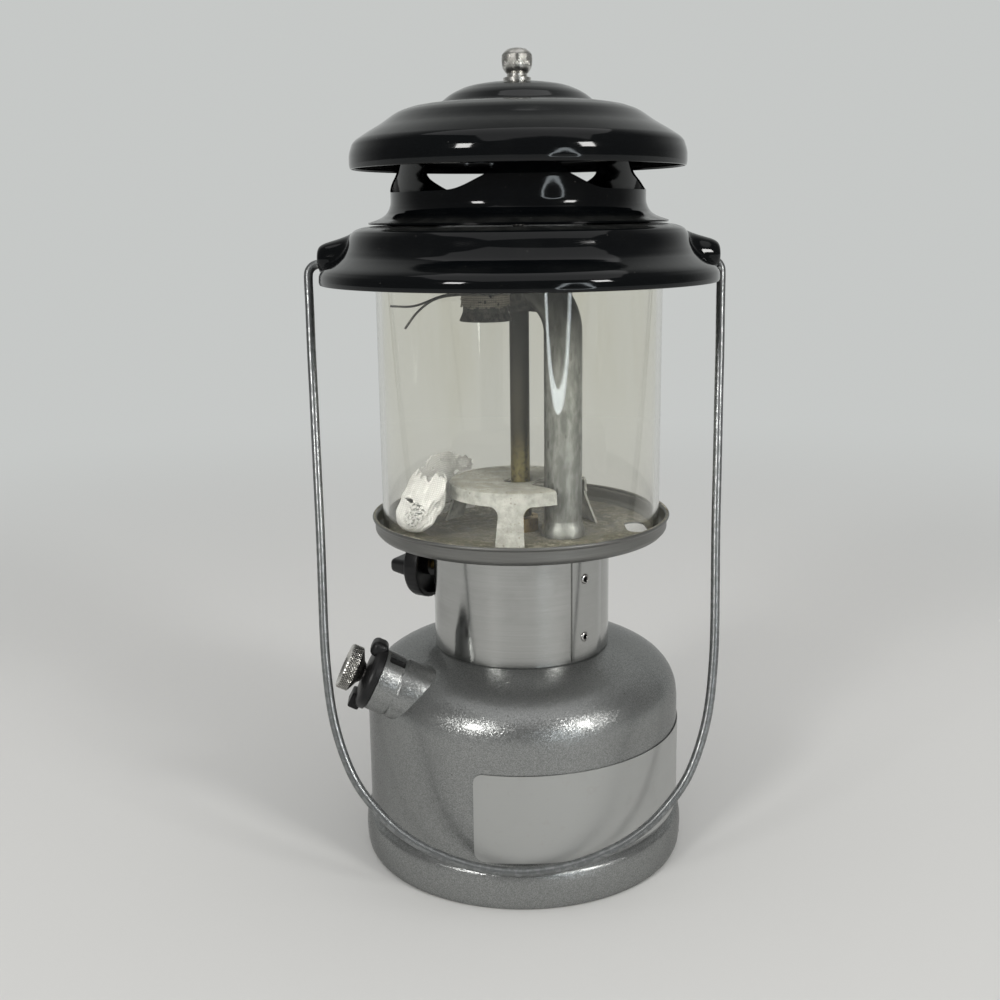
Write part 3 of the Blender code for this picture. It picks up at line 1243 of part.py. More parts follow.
def make_ball_nut():
    low = NUT_BOTTOM
    shares = ((0.0, 1.0), (0.66, 0.99), (0.83, 0.9), (0.97, 0.78), (1.0, 0.54), (0.93, 0.36), (0.74, 0.24),
              (0.7, 0.13), (0.86, 0.0))
    outline = [(NUT_RADIUS * r, low + NUT_HEIGHT * z) for r, z in shares]
    outline += [(NUT_BORE, low), (NUT_BORE, low + NUT_BORE_DEPTH), (0, low + NUT_BORE_DEPTH)]
    return turned("ball_nut", outline, MATERIALS["chrome"], steps=20)


BAIL_SHARES = (
    (0.995, 0.06), (0.985, 0.15), (0.965, 0.3), (0.945, 0.45), (0.93, 0.6), (0.915, 0.68), (0.88, 0.76),
    (0.80, 0.84), (0.69, 0.895), (0.55, 0.94), (0.38, 0.972), (0.2, 0.992), (0.0, 1.0),
)


def bail_path():
    """Half of the bail in its own plane as (across, down), from inside the ear to the middle."""
    tip = EAR_FACE - BAIL_TIP
    corner = [(tip, 0.0), ((tip + BAIL_HALF - BAIL_CORNER) / 2, 0.0)]
    for index in range(4):
        angle = deg(90) * index / 3
        corner.append((BAIL_HALF - BAIL_CORNER * (1 - math.sin(angle)), BAIL_CORNER * (1 - math.cos(angle))))
    controls = [corner[-1]] + [(BAIL_HALF * x, BAIL_DROP * d) for x, d in BAIL_SHARES]
    return corner, smooth_line(controls, 2)


def smooth_line(controls, pieces):
    """Catmull-Rom points through controls; the last one is kept."""
    padded = [controls[0]] + list(controls) + [(-controls[-2][0], controls[-2][1])]
    points = []
    for a, b, c, d in zip(padded, padded[1:], padded[2:], padded[3:]):
        for index in range(pieces):
            t = index / pieces
            points.append(tuple(
                0.5 * (2 * q + (r - p) * t + (2 * p - 5 * q + 4 * r - s) * t * t + (3 * q - p - 3 * r + s) * t ** 3)
                for p, q, r, s in zip(a, b, c, d)))
    points.append(controls[-1])
    return points


def make_bail():
    corner, run = bail_path()
    half = corner[:-1] + run
    left = [(-x, d) for x, d in half]
    right = half[::-1][1:]
    lean = deg(BAIL_TILT)
    points = [Vector((x, -d * math.sin(lean), -d * math.cos(lean))) for x, d in left + right]
    return wire("bail", points, BAIL_WIRE, MATERIALS["wire"], axis=BAIL_AXIS)


def pump_frame():
    toe, rise = deg(PUMP_TOE), deg(PUMP_ELEVATION)
    out = Vector((-math.cos(rise) * math.cos(toe), -math.cos(rise) * math.sin(toe), math.sin(rise)))
    side = out.cross(Vector((0, 0, 1))).normalized()
    return side, out.cross(side) * -1, out


def filler_frame():
    outward = round_from_front(FILLER_ANGLE, 1.0)
    up = (outward * math.sin(deg(FILLER_TILT)) + Vector((0, 0, math.cos(deg(FILLER_TILT))))).normalized()
    side = up.cross(outward).normalized()
    return side, up.cross(side), up


def valve_frame():
    out = round_from_front(VALVE_ANGLE, 1.0)
    up = Vector((0, 0, 1))
    return up.cross(out), up, out


clear_scene()
PARTS = make_collection(PARTS_NAME)
CUTTERS = make_collection("cutters")
MATERIALS = make_materials()

side, up, out = pump_frame()
pump_mouth = Vector((PUMP_INSET - TANK_RADIUS, -PUMP_FORWARD, SHOULDER_Z + PUMP_RISE))
PUMP_AXIS = make_axis("pump_axis", pump_mouth, (side, up, out))
PLUNGER_AXIS = make_axis("plunger_axis", pump_mouth, (side, up, out))
filler_offset = TANK_RADIUS - FILLER_INSET
filler_foot = round_from_front(FILLER_ANGLE, filler_offset) + Vector((0, 0, dome_height(filler_offset)))
FILLER_AXIS = make_axis("filler_axis", filler_foot, filler_frame())
VALVE_AXIS = make_axis("valve_axis", Vector((0, 0, VALVE_HEIGHT)), valve_frame())
BAIL_AXIS = make_axis("bail_axis", Vector((0, 0, PIVOT_Z)))
DOME_CUTTER = make_dome_cutter()

make_tank_shell()
make_tank_base()
make_tank_plate()
make_pump_housing()
make_pump_barrel()
make_pump_cap()
make_pump_rod()
make_pump_knob()
make_pump_cup()
make_cup_nut()
make_check_valve()
make_air_stem()
make_filler_neck()
make_filler_gasket()
make_filler_cap()
make_collar()
make_rivets()
make_valve_body()
make_packing_nut()
make_valve_stem()
make_control_knob()
make_knob_screw()
make_pickup_tube()
make_tray()
make_jam_nut()
make_heat_shield()
make_air_tube()
make_generator()
make_gas_tip()
make_cleaning_needle()
make_manifold()
make_burner_caps()
make_burner_screens()
make_mantle_remnants()
make_mantle_clip()
make_mantle_scraps()
make_globe()
make_inner_baffle()
make_skirt()
make_neck()
make_canopy()
make_stud()
make_ball_nut()
make_bail()
print("Pieces:", sum(1 for obj in PARTS.objects if obj.type != "EMPTY"))
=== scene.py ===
# %% [markdown]
# # A dual fuel camping lantern
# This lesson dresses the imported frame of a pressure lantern: a painted tank with a pump, a bare collar,
# a tray with a heat shield and the burner parts, a glass globe, an enamelled hood and a wire bail.
# The frame is loaded first. Every new piece is then made in the frame's own place, rides on one of its
# bodies, and stands for the plain solid that it hides.

# %% Load the frame
import math
import bmesh
import bpy
from mathutils import Matrix, Vector, noise


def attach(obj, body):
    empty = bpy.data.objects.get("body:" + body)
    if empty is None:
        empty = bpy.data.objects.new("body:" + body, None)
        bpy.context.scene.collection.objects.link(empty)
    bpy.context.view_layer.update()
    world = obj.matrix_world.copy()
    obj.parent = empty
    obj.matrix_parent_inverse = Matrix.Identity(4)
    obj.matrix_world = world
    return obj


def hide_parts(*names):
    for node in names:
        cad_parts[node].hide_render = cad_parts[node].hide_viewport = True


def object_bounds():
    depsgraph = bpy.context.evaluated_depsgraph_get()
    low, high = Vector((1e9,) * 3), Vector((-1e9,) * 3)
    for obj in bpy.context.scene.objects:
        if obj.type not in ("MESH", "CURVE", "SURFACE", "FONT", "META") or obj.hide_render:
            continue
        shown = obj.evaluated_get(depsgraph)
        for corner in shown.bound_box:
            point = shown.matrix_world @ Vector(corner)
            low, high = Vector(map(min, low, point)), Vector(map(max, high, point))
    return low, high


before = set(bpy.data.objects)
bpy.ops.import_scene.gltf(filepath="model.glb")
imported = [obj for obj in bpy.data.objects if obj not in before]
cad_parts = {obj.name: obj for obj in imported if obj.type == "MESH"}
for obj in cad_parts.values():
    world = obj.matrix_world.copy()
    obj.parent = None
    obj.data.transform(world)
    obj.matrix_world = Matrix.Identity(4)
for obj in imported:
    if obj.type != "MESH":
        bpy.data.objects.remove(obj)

MM = 0.001
TURN = math.tau
cad_box = [[float(c) for c in corner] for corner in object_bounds()]
print("CAD box in mm:", [[round(c / MM, 1) for c in corner] for corner in cad_box])

# %% [markdown]
# ## The camera
# The photograph was taken from a little above the tank's shoulder, at arm's length. The lens was found
# from how fast the rings of the hood, tray and foot flatten from top to bottom, which a long lens does
# slowly and a short lens fast. The camera looks down by 13 degrees and leans by less than one degree.

# %% Place the camera
PHOTO_PIXELS = 1000
FOCAL_PIXELS = 1238
LOOKS_DOWN = math.radians(12.96)
LEAN = math.radians(-0.7)
CAMERA_AT = Vector((-0.0093, -0.5446, 0.2871))

lens = bpy.data.cameras.new("photo_camera")
lens.sensor_width = 36
lens.lens = FOCAL_PIXELS * lens.sensor_width / PHOTO_PIXELS
lens.clip_start = 0.02
lens.clip_end = 60
camera = bpy.data.objects.new("photo_camera", lens)
bpy.context.scene.collection.objects.link(camera)
camera.matrix_world = (
    Matrix.Translation(CAMERA_AT)
    @ Matrix.Rotation(math.radians(90) - LOOKS_DOWN, 4, "X")
    @ Matrix.Rotation(LEAN, 4, "Z"))
bpy.context.scene.camera = camera
print("camera:", round(lens.lens, 2), "mm lens, at", [round(c / MM) for c in CAMERA_AT], "mm")

# %% [markdown]
# ## The table, the lamps and the sky
# The photograph shows two lamps high on either side of the camera, which leave a pair of small
# highlights on every ring of the lantern, and a ring lamp low on the right, whose reflection hangs as a
# long loop on the globe. Two soft area lamps and a glowing ring stand there, and a large dim one hangs
# overhead. The floor is plain and pale. The world is pale to the camera and through glass, and dimmer as
# a light, so that a colour renders about as it is written. Reflections see the pale wall behind the
# lantern and the dimmer room in front of it, which is what keeps black enamel black. Far from the
# lantern the floor takes on the world's colour, so no horizon cuts through the picture.

# %% Set the view and build the stage
scene = bpy.context.scene
scene.view_settings.view_transform = "Standard"

FLOOR_COLOUR = (0.66, 0.66, 0.645)
SKY_COLOUR = (0.565, 0.58, 0.57)
ROOM_COLOUR = (0.13, 0.13, 0.128)
SKY_LIGHT = 0.42
FLOOR_HALF = 30
FLOOR_FADES = (0.30, 1.25)
ROOM_BEGINS, ROOM_IS_WHOLE = 0.92, 0.15
LAMP_AIM, RING_AIM = 0.17, 0.2
RING_STEPS = 96


def add_node(tree, kind, **settings):
    """Add a node and set the attributes named."""
    node = tree.nodes.new(kind)
    for name, value in settings.items():
        setattr(node, name, value)
    return node


def maths(tree, operation, a, b=None, clamp=False):
    """A Math node on sockets or plain numbers, and its output."""
    node = add_node(tree, "ShaderNodeMath", operation=operation, use_clamp=clamp)
    for index, value in enumerate((a, b)):
        if value is None:
            continue
        if isinstance(value, (int, float)):
            node.inputs[index].default_value = value
        else:
            tree.links.new(value, node.inputs[index])
    return node.outputs[0]


def ramp_between(tree, value, low, high):
    """Clamp a value to a share from zero at low to one at high."""
    node = add_node(tree, "ShaderNodeMapRange", clamp=True, interpolation_type="SMOOTHSTEP")
    tree.links.new(value, node.inputs["Value"])
    for socket, bound in (("From Min", low), ("From Max", high)):
        if isinstance(bound, (int, float)):
            node.inputs[socket].default_value = bound
        else:
            tree.links.new(bound, node.inputs[socket])
    return node.outputs["Result"]


def blend_colours(tree, share, first, second):
    """Mix two colours, each a socket or a plain (r, g, b)."""
    node = add_node(tree, "ShaderNodeMix", data_type="RGBA")
    if isinstance(share, (int, float)):
        node.inputs[0].default_value = share
    else:
        tree.links.new(share, node.inputs[0])
    for index, colour in ((6, first), (7, second)):
        if isinstance(colour, tuple):
            node.inputs[index].default_value = (*colour, 1)
        else:
            tree.links.new(colour, node.inputs[index])
    return node.outputs[2]


def seen_by_eye(tree):
    """One for the camera, in reflections and through glass, and zero for light that only brightens."""
    path = add_node(tree, "ShaderNodeLightPath").outputs
    seen = maths(tree, "MAXIMUM", path["Is Camera Ray"], path["Is Glossy Ray"])
    return maths(tree, "MAXIMUM", seen, path["Is Transmission Ray"])


def mix_shaders(tree, share, first, second, out):
    """Blend two shaders by a share and send them to the output's surface."""
    mix = add_node(tree, "ShaderNodeMixShader")
    for index, socket in enumerate((share, first, second)):
        tree.links.new(socket, mix.inputs[index])
    tree.links.new(mix.outputs[0], out.inputs["Surface"])


def output_of(tree):
    """A material's own output node."""
    return next(n for n in tree.nodes if n.type == "OUTPUT_MATERIAL")


def stage_mesh(name, bm):
    """Make an object of the stage from a bmesh."""
    mesh = bpy.data.meshes.new(name)
    bm.to_mesh(mesh)
    bm.free()
    thing = bpy.data.objects.new(name, mesh)
    scene.collection.objects.link(thing)
    return thing


def make_floor():
    """A wide pale sheet under the lantern that fades into the world's colour."""
    bm = bmesh.new()
    bmesh.ops.create_grid(bm, x_segments=1, y_segments=1, size=FLOOR_HALF)
    floor = stage_mesh("floor", bm)
    material = bpy.data.materials.new("pale_floor")
    material.use_nodes = True
    tree = material.node_tree
    shader = tree.nodes["Principled BSDF"]
    shader.inputs["Base Color"].default_value = (*FLOOR_COLOUR, 1)
    shader.inputs["Roughness"].default_value = 0.75
    shader.inputs["Specular IOR Level"].default_value = 0.2
    far = add_node(tree, "ShaderNodeEmission")
    far.inputs["Color"].default_value = (*SKY_COLOUR, 1)
    place = add_node(tree, "ShaderNodeTexCoord")
    distance = add_node(tree, "ShaderNodeVectorMath", operation="LENGTH")
    tree.links.new(place.outputs["Object"], distance.inputs[0])
    fade = ramp_between(tree, distance.outputs["Value"], *FLOOR_FADES)
    share = maths(tree, "MULTIPLY", fade, seen_by_eye(tree))
    mix_shaders(tree, share, shader.outputs[0], far.outputs[0], output_of(tree))
    floor.data.materials.append(material)
    return floor


def make_sky():
    """Pale to the camera, in mirrors and through glass, and a softer light for everything else."""
    world = bpy.data.worlds.new("studio")
    scene.world = world
    world.use_nodes = True
    tree = world.node_tree
    tree.nodes.clear()
    light = add_node(tree, "ShaderNodeBackground")
    light.inputs["Color"].default_value = (1, 1, 1, 1)
    light.inputs["Strength"].default_value = SKY_LIGHT
    view = add_node(tree, "ShaderNodeBackground")
    view.inputs["Strength"].default_value = 1.0
    direction = add_node(tree, "ShaderNodeTexCoord")
    split = add_node(tree, "ShaderNodeSeparateXYZ")
    tree.links.new(direction.outputs["Generated"], split.inputs[0])
    in_front = ramp_between(tree, split.outputs["Y"], ROOM_BEGINS, ROOM_IS_WHOLE)
    path = add_node(tree, "ShaderNodeLightPath").outputs
    mirrored = maths(tree, "SUBTRACT", path["Is Glossy Ray"], path["Is Transmission Ray"])
    room = maths(tree, "MULTIPLY", in_front, maths(tree, "MAXIMUM", mirrored, 0.0))
    tree.links.new(blend_colours(tree, room, SKY_COLOUR, ROOM_COLOUR), view.inputs["Color"])
    mix_shaders(tree, seen_by_eye(tree), light.outputs[0], view.outputs[0],
                add_node(tree, "ShaderNodeOutputWorld"))


def round_from_front(angle, radius=1.0):
    """A level direction, by its degrees round from the front, with the right positive."""
    a = math.radians(angle)
    return Vector((radius * math.sin(a), -radius * math.cos(a), 0))


def point_along(direction, origin):
    """A frame at origin whose Z is the direction."""
    return Matrix.Translation(origin) @ direction.to_track_quat("Z", "Y").to_matrix().to_4x4()


def stand_away(azimuth, elevation, distance, aim):
    """The place of a lamp that looks at a height on the lantern's axis."""
    a, e = math.radians(azimuth), math.radians(elevation)
    away = Vector((math.sin(a) * math.cos(e), -math.cos(a) * math.cos(e), math.sin(e)))
    return point_along(away, Vector((0, 0, aim)) + away * distance)


def add_lamp(name, azimuth, elevation, distance, width, height, watts, colour=(1, 1, 1)):
    """A soft rectangular lamp that looks at the lantern. Azimuth is round from the front, right positive."""
    lamp = bpy.data.lights.new(name, "AREA")
    lamp.shape = "RECTANGLE"
    lamp.size = width
    lamp.size_y = height
    lamp.energy = watts
    lamp.color = colour
    holder = bpy.data.objects.new(name, lamp)
    scene.collection.objects.link(holder)
    holder.matrix_world = stand_away(azimuth, elevation, distance, LAMP_AIM)


def add_ring_lamp(azimuth, elevation, distance, radius, width, strength):
    """A glowing flat ring that faces the lantern, which the camera itself doesn't see."""
    bm = bmesh.new()
    bmesh.ops.create_circle(bm, segments=RING_STEPS, radius=radius)
    widened = bmesh.ops.extrude_edge_only(bm, edges=bm.edges[:])
    rim = [v for v in widened["geom"] if isinstance(v, bmesh.types.BMVert)]
    bmesh.ops.scale(bm, vec=Vector((1 + width / radius, 1 + width / radius, 1)), verts=rim)
    bmesh.ops.transform(bm, matrix=stand_away(azimuth, elevation, distance, RING_AIM), verts=bm.verts)
    ring = stage_mesh("ring_lamp", bm)
    ring.visible_camera = ring.visible_diffuse = ring.visible_shadow = False
    glow = bpy.data.materials.new("ring_glow")
    glow.use_nodes = True
    shader = glow.node_tree.nodes["Principled BSDF"]
    shader.inputs["Base Color"].default_value = (0, 0, 0, 1)
    shader.inputs["Emission Color"].default_value = (0.88, 0.96, 1.0, 1)
    shader.inputs["Emission Strength"].default_value = strength
    ring.data.materials.append(glow)
    return ring


make_floor()
add_ring_lamp(28.5, 2.5, 1.0, 0.155, 0.03, 8.0)
make_sky()
add_lamp("lamp_left", -37, 24, 2.2, 0.36, 0.56, 17, (1.0, 0.99, 0.97))
add_lamp("lamp_right", 46, 24, 2.2, 0.36, 0.56, 17, (1.0, 0.99, 0.97))
add_lamp("lamp_overhead", 15, 78, 2.4, 3.2, 3.2, 23)

# %% [markdown]
# ## Shared effects for the finishes
# Several finishes need the same few effects: two tones that meet in patches, fine lines left by
# brushing or drawing, dust that settles on what faces up, small specks, and flakes in paint. Each is a
# node group with named inputs, built once. A group puts out only masks, colours, heights or normals,
# and the shader itself stays in each material, where its plain values are easy to find.

# %% A helper that builds a node group


def new_group(name, inputs, outputs):
    """An empty shader group with its input and output nodes. Sockets are (name, kind, default) triples."""
    group = bpy.data.node_groups.new(name, "ShaderNodeTree")
    for socket_name, kind, default in inputs:
        socket = group.interface.new_socket(name=socket_name, in_out="INPUT", socket_type=kind)
        if default is not None:
            socket.default_value = default
    for socket_name, kind in outputs:
        group.interface.new_socket(name=socket_name, in_out="OUTPUT", socket_type=kind)
    return group, add_node(group, "NodeGroupInput"), add_node(group, "NodeGroupOutput")


def feed(group, given, node, *names):
    """Link the group's inputs to the node's sockets of the same names."""
    for name in names:
        group.links.new(given.outputs[name], node.inputs[name])


print("helpers for node groups are ready")

# %% Patches: two tones that meet in soft or hard patches


def build_patches():
    group, given, made = new_group(
        "patches",
        [("Vector", "NodeSocketVector", None), ("Scale", "NodeSocketFloat", 60.0),
         ("Detail", "NodeSocketFloat", 4.0), ("Low", "NodeSocketFloat", 0.4),
         ("High", "NodeSocketFloat", 0.6)],
        [("Mask", "NodeSocketFloat")])
    cloud = add_node(group, "ShaderNodeTexNoise")
    cloud.inputs["Roughness"].default_value = 0.6
    feed(group, given, cloud, "Vector", "Scale", "Detail")
    mask = ramp_between(group, cloud.outputs["Fac"], given.outputs["Low"], given.outputs["High"])
    group.links.new(mask, made.inputs["Mask"])
    return group


PATCHES = build_patches()
print("group:", PATCHES.name)

# %% Brushing: long fine lines in one direction


def build_brushing():
    group, given, made = new_group(
        "brushing",
        [("Vector", "NodeSocketVector", None), ("Across", "NodeSocketFloat", 4000.0),
         ("Along", "NodeSocketFloat", 30.0)],
        [("Lines", "NodeSocketFloat")])
    split = add_node(group, "ShaderNodeSeparateXYZ")
    group.links.new(given.outputs["Vector"], split.inputs[0])
    join = add_node(group, "ShaderNodeCombineXYZ")
    for axis, stretch in (("X", "Along"), ("Y", "Along"), ("Z", "Across")):
        stretched = maths(group, "MULTIPLY", split.outputs[axis], given.outputs[stretch])
        group.links.new(stretched, join.inputs[axis])
    lines = add_node(group, "ShaderNodeTexNoise")
    lines.inputs["Scale"].default_value = 1.0
    lines.inputs["Detail"].default_value = 3.0
    group.links.new(join.outputs[0], lines.inputs["Vector"])
    group.links.new(lines.outputs["Fac"], made.inputs["Lines"])
    return group


BRUSHING = build_brushing()
print("group:", BRUSHING.name)

# %% Settled dust: more of it where the surface faces up


def build_dust():
    group, given, made = new_group(
        "settled_dust",
        [("Vector", "NodeSocketVector", None), ("Scale", "NodeSocketFloat", 90.0),
         ("Faces Up From", "NodeSocketFloat", 0.3), ("Amount", "NodeSocketFloat", 0.5)],
        [("Mask", "NodeSocketFloat")])
    shape = add_node(group, "ShaderNodeNewGeometry")
    split = add_node(group, "ShaderNodeSeparateXYZ")
    group.links.new(shape.outputs["Normal"], split.inputs[0])
    facing = ramp_between(group, split.outputs["Z"], given.outputs["Faces Up From"], 1.0)
    cloud = add_node(group, "ShaderNodeTexNoise")
    cloud.inputs["Detail"].default_value = 6.0
    cloud.inputs["Roughness"].default_value = 0.65
    feed(group, given, cloud, "Vector", "Scale")
    uneven = ramp_between(group, cloud.outputs["Fac"], 0.3, 0.7)
    cover = maths(group, "ADD", maths(group, "MULTIPLY", uneven, 0.7), 0.3)
    thick = maths(group, "MULTIPLY", facing, cover)
    group.links.new(maths(group, "MULTIPLY", thick, given.outputs["Amount"]), made.inputs["Mask"])
    return group


DUST = build_dust()
print("group:", DUST.name)

# %% Specks: small scattered dots


def build_specks():
    group, given, made = new_group(
        "specks",
        [("Vector", "NodeSocketVector", None), ("Scale", "NodeSocketFloat", 900.0),
         ("Size", "NodeSocketFloat", 0.12), ("Share", "NodeSocketFloat", 0.2)],
        [("Mask", "NodeSocketFloat")])
    cells = add_node(group, "ShaderNodeTexVoronoi")
    feed(group, given, cells, "Vector", "Scale")
    near = maths(group, "LESS_THAN", cells.outputs["Distance"], given.outputs["Size"])
    split = add_node(group, "ShaderNodeSeparateColor")
    group.links.new(cells.outputs["Color"], split.inputs[0])
    chosen = maths(group, "LESS_THAN", split.outputs["Red"], given.outputs["Share"])
    group.links.new(maths(group, "MULTIPLY", near, chosen), made.inputs["Mask"])
    return group


SPECKS = build_specks()
print("group:", SPECKS.name)

# %% Flakes: each small cell of the paint leans its own way, and some are brighter


def build_flakes():
    group, given, made = new_group(
        "flakes",
        [("Vector", "NodeSocketVector", None), ("Scale", "NodeSocketFloat", 2400.0),
         ("Lean", "NodeSocketFloat", 0.25)],
        [("Normal", "NodeSocketVector"), ("Brightness", "NodeSocketFloat")])
    cells = add_node(group, "ShaderNodeTexVoronoi")
    feed(group, given, cells, "Vector", "Scale")
    centred = add_node(group, "ShaderNodeVectorMath", operation="SUBTRACT")
    group.links.new(cells.outputs["Color"], centred.inputs[0])
    centred.inputs[1].default_value = (0.5, 0.5, 0.5)
    leaning = add_node(group, "ShaderNodeVectorMath", operation="SCALE")
    group.links.new(centred.outputs[0], leaning.inputs[0])
    group.links.new(given.outputs["Lean"], leaning.inputs["Scale"])
    shape = add_node(group, "ShaderNodeNewGeometry")
    added = add_node(group, "ShaderNodeVectorMath", operation="ADD")
    group.links.new(shape.outputs["Normal"], added.inputs[0])
    group.links.new(leaning.outputs[0], added.inputs[1])
    unit = add_node(group, "ShaderNodeVectorMath", operation="NORMALIZE")
    group.links.new(added.outputs[0], unit.inputs[0])
    group.links.new(unit.outputs[0], made.inputs["Normal"])
    split = add_node(group, "ShaderNodeSeparateColor")
    group.links.new(cells.outputs["Color"], split.inputs[0])
    group.links.new(split.outputs["Green"], made.inputs["Brightness"])
    return group


FLAKES = build_flakes()
print("group:", FLAKES.name)

# %% [markdown]
# ## A finish from parts
# Every material below starts the same way: a Principled shader with plain values, the piece's own
# object coordinates, and a few groups placed on them. This helper class keeps that short. It sets plain
# numbers on the shader's own sockets, and links only what changes over the surface.

# %% A helper for finishes


class Finish:
    """A material that is being put together."""

    def __init__(self, name, colour, roughness, metallic=0.0, **plain):
        self.material = bpy.data.materials.new(name)
        self.material.use_nodes = True
        self.tree = self.material.node_tree
        self.shader = self.tree.nodes["Principled BSDF"]
        self.shader.inputs["Base Color"].default_value = (*colour, 1)
        self.shader.inputs["Roughness"].default_value = roughness
        self.shader.inputs["Metallic"].default_value = metallic
        for socket, value in plain.items():
            self.shader.inputs[socket.replace("_", " ")].default_value = value
        place = add_node(self.tree, "ShaderNodeTexCoord")
        self.mapping = add_node(self.tree, "ShaderNodeMapping")
        self.tree.links.new(place.outputs["Object"], self.mapping.inputs["Vector"])
        self.vector = self.mapping.outputs["Vector"]

    def effect(self, group, **values):
        """Place a group on this finish's coordinates and give back its outputs."""
        node = add_node(self.tree, "ShaderNodeGroup", node_tree=group)
        self.tree.links.new(self.vector, node.inputs["Vector"])
        for name, value in values.items():
            node.inputs[name.replace("_", " ")].default_value = value
        return node.outputs

    def maths(self, operation, a, b=None, clamp=False):
        return maths(self.tree, operation, a, b, clamp)

    def ramp(self, value, low, high):
        return ramp_between(self.tree, value, low, high)

    def blend(self, share, first, second, amount=None):
        """The first colour, with the second over it by the share, or by an amount of it."""
        if amount is not None:
            share = self.maths("MULTIPLY", share, amount)
        return blend_colours(self.tree, share, first, second)

    def between(self, share, low, high):
        """A number that goes from low to high as the share goes from zero to one."""
        return self.maths("ADD", self.maths("MULTIPLY", share, high - low), low)

    def height_of(self):
        """The object's own height above the table, in metres."""
        split = add_node(self.tree, "ShaderNodeSeparateXYZ")
        self.tree.links.new(self.vector, split.inputs[0])
        return split.outputs["Z"]

    def colour(self, socket):
        self.tree.links.new(socket, self.shader.inputs["Base Color"])

    def rough(self, socket):
        self.tree.links.new(socket, self.shader.inputs["Roughness"])

    def metal(self, socket):
        self.tree.links.new(socket, self.shader.inputs["Metallic"])

    def relief(self, height, strength, distance=0.0002):
        """Bump from a height socket."""
        bump = add_node(self.tree, "ShaderNodeBump")
        bump.inputs["Strength"].default_value = strength
        bump.inputs["Distance"].default_value = distance
        self.tree.links.new(height, bump.inputs["Height"])
        self.tree.links.new(bump.outputs[0], self.shader.inputs["Normal"])
        return bump

    def noise(self, scale, detail=3.0, roughness=0.5):
        cloud = add_node(self.tree, "ShaderNodeTexNoise")
        cloud.inputs["Scale"].default_value = scale
        cloud.inputs["Detail"].default_value = detail
        cloud.inputs["Roughness"].default_value = roughness
        self.tree.links.new(self.vector, cloud.inputs["Vector"])
        return cloud.outputs["Fac"]


print("finish helper is ready")

# %% [markdown]
# ## Silver flake paint
# The tank, its foot, the pump's housing and the filler's neck are sprayed with a grey metallic paint
# full of aluminium flakes under a clear coat. The flakes spread the lamps into a wide sparkling glow,
# while the coat adds a small sharp highlight. So the metal part is rough and its normal leans from
# flake to flake, and the coat over it is smooth.

# %% Make the tank's paint


def make_tank_paint():
    paint = Finish("tank_paint", (0.25, 0.255, 0.25), 0.34, 0.80,
                   Coat_Weight=0.45, Coat_Roughness=0.045, Coat_IOR=1.45, Specular_Tint=(0.35, 0.35, 0.35, 1))
    flakes = paint.effect(FLAKES, Scale=3100.0, Lean=0.22)
    age = paint.effect(PATCHES, Scale=34.0, Detail=5.0, Low=0.35, High=0.75)
    tone = paint.blend(flakes["Brightness"], (0.19, 0.195, 0.192), (0.34, 0.348, 0.342))
    aged = paint.blend(age["Mask"], tone, (0.17, 0.17, 0.165), 0.12)
    grime = paint.effect(SPECKS, Scale=420.0, Size=0.16, Share=0.03)
    paint.colour(paint.blend(grime["Mask"], aged, (0.09, 0.085, 0.08), 0.6))
    paint.rough(paint.between(age["Mask"], 0.29, 0.35))
    paint.tree.links.new(flakes["Normal"], paint.shader.inputs["Normal"])
    return paint.material


TANK_PAINT = make_tank_paint()
print("finish:", TANK_PAINT.name)

# %% [markdown]
# ## Foil, stainless and tray steel
# The plate round the tank is pale satin foil. The collar is bare stainless, brushed round and round, so
# its lines run level and a lamp becomes a tall soft bar. The tray is duller grey steel: handled bright
# on its rim, and on its floor covered in a beige film of burnt fuel and ash, with a few rust specks.

# %% Make the foil plate's finish


def make_foil():
    foil = Finish("plate_foil", (0.37, 0.375, 0.365), 0.42, 0.45)
    lines = foil.effect(BRUSHING, Across=2600.0, Along=60.0)
    wear = foil.effect(PATCHES, Scale=55.0, Detail=6.0, Low=0.52, High=0.80)
    scuffs = foil.effect(PATCHES, Scale=260.0, Detail=2.0, Low=0.62, High=0.70)
    base = foil.blend(wear["Mask"], (0.37, 0.375, 0.365), (0.28, 0.28, 0.27), 0.35)
    foil.colour(foil.blend(scuffs["Mask"], base, (0.34, 0.33, 0.31), 0.25))
    foil.rough(foil.between(lines["Lines"], 0.34, 0.52))
    foil.relief(lines["Lines"], 0.25, 0.00006)
    return foil.material


FOIL = make_foil()
print("finish:", FOIL.name)

# %% Make the brushed stainless of the collar


def make_stainless():
    steel = Finish("bare_stainless", (0.33, 0.335, 0.32), 0.30, 1.0,
                   Anisotropic=0.85, Anisotropic_Rotation=0.25)
    around = add_node(steel.tree, "ShaderNodeTangent", direction_type="RADIAL", axis="Z")
    steel.tree.links.new(around.outputs[0], steel.shader.inputs["Tangent"])
    lines = steel.effect(BRUSHING, Across=5200.0, Along=40.0)
    broad = steel.effect(BRUSHING, Across=700.0, Along=12.0)
    handled = steel.effect(PATCHES, Scale=48.0, Detail=4.0, Low=0.50, High=0.80)
    tone = steel.blend(lines["Lines"], (0.36, 0.363, 0.352), (0.49, 0.493, 0.48))
    steel.colour(steel.blend(handled["Mask"], tone, (0.22, 0.22, 0.21), 0.30))
    steel.rough(steel.between(broad["Lines"], 0.14, 0.20))
    steel.relief(lines["Lines"], 0.06, 0.00004)
    return steel.material


STAINLESS = make_stainless()
print("finish:", STAINLESS.name)

# %% Make the tray's steel, with its film of ash on the floor


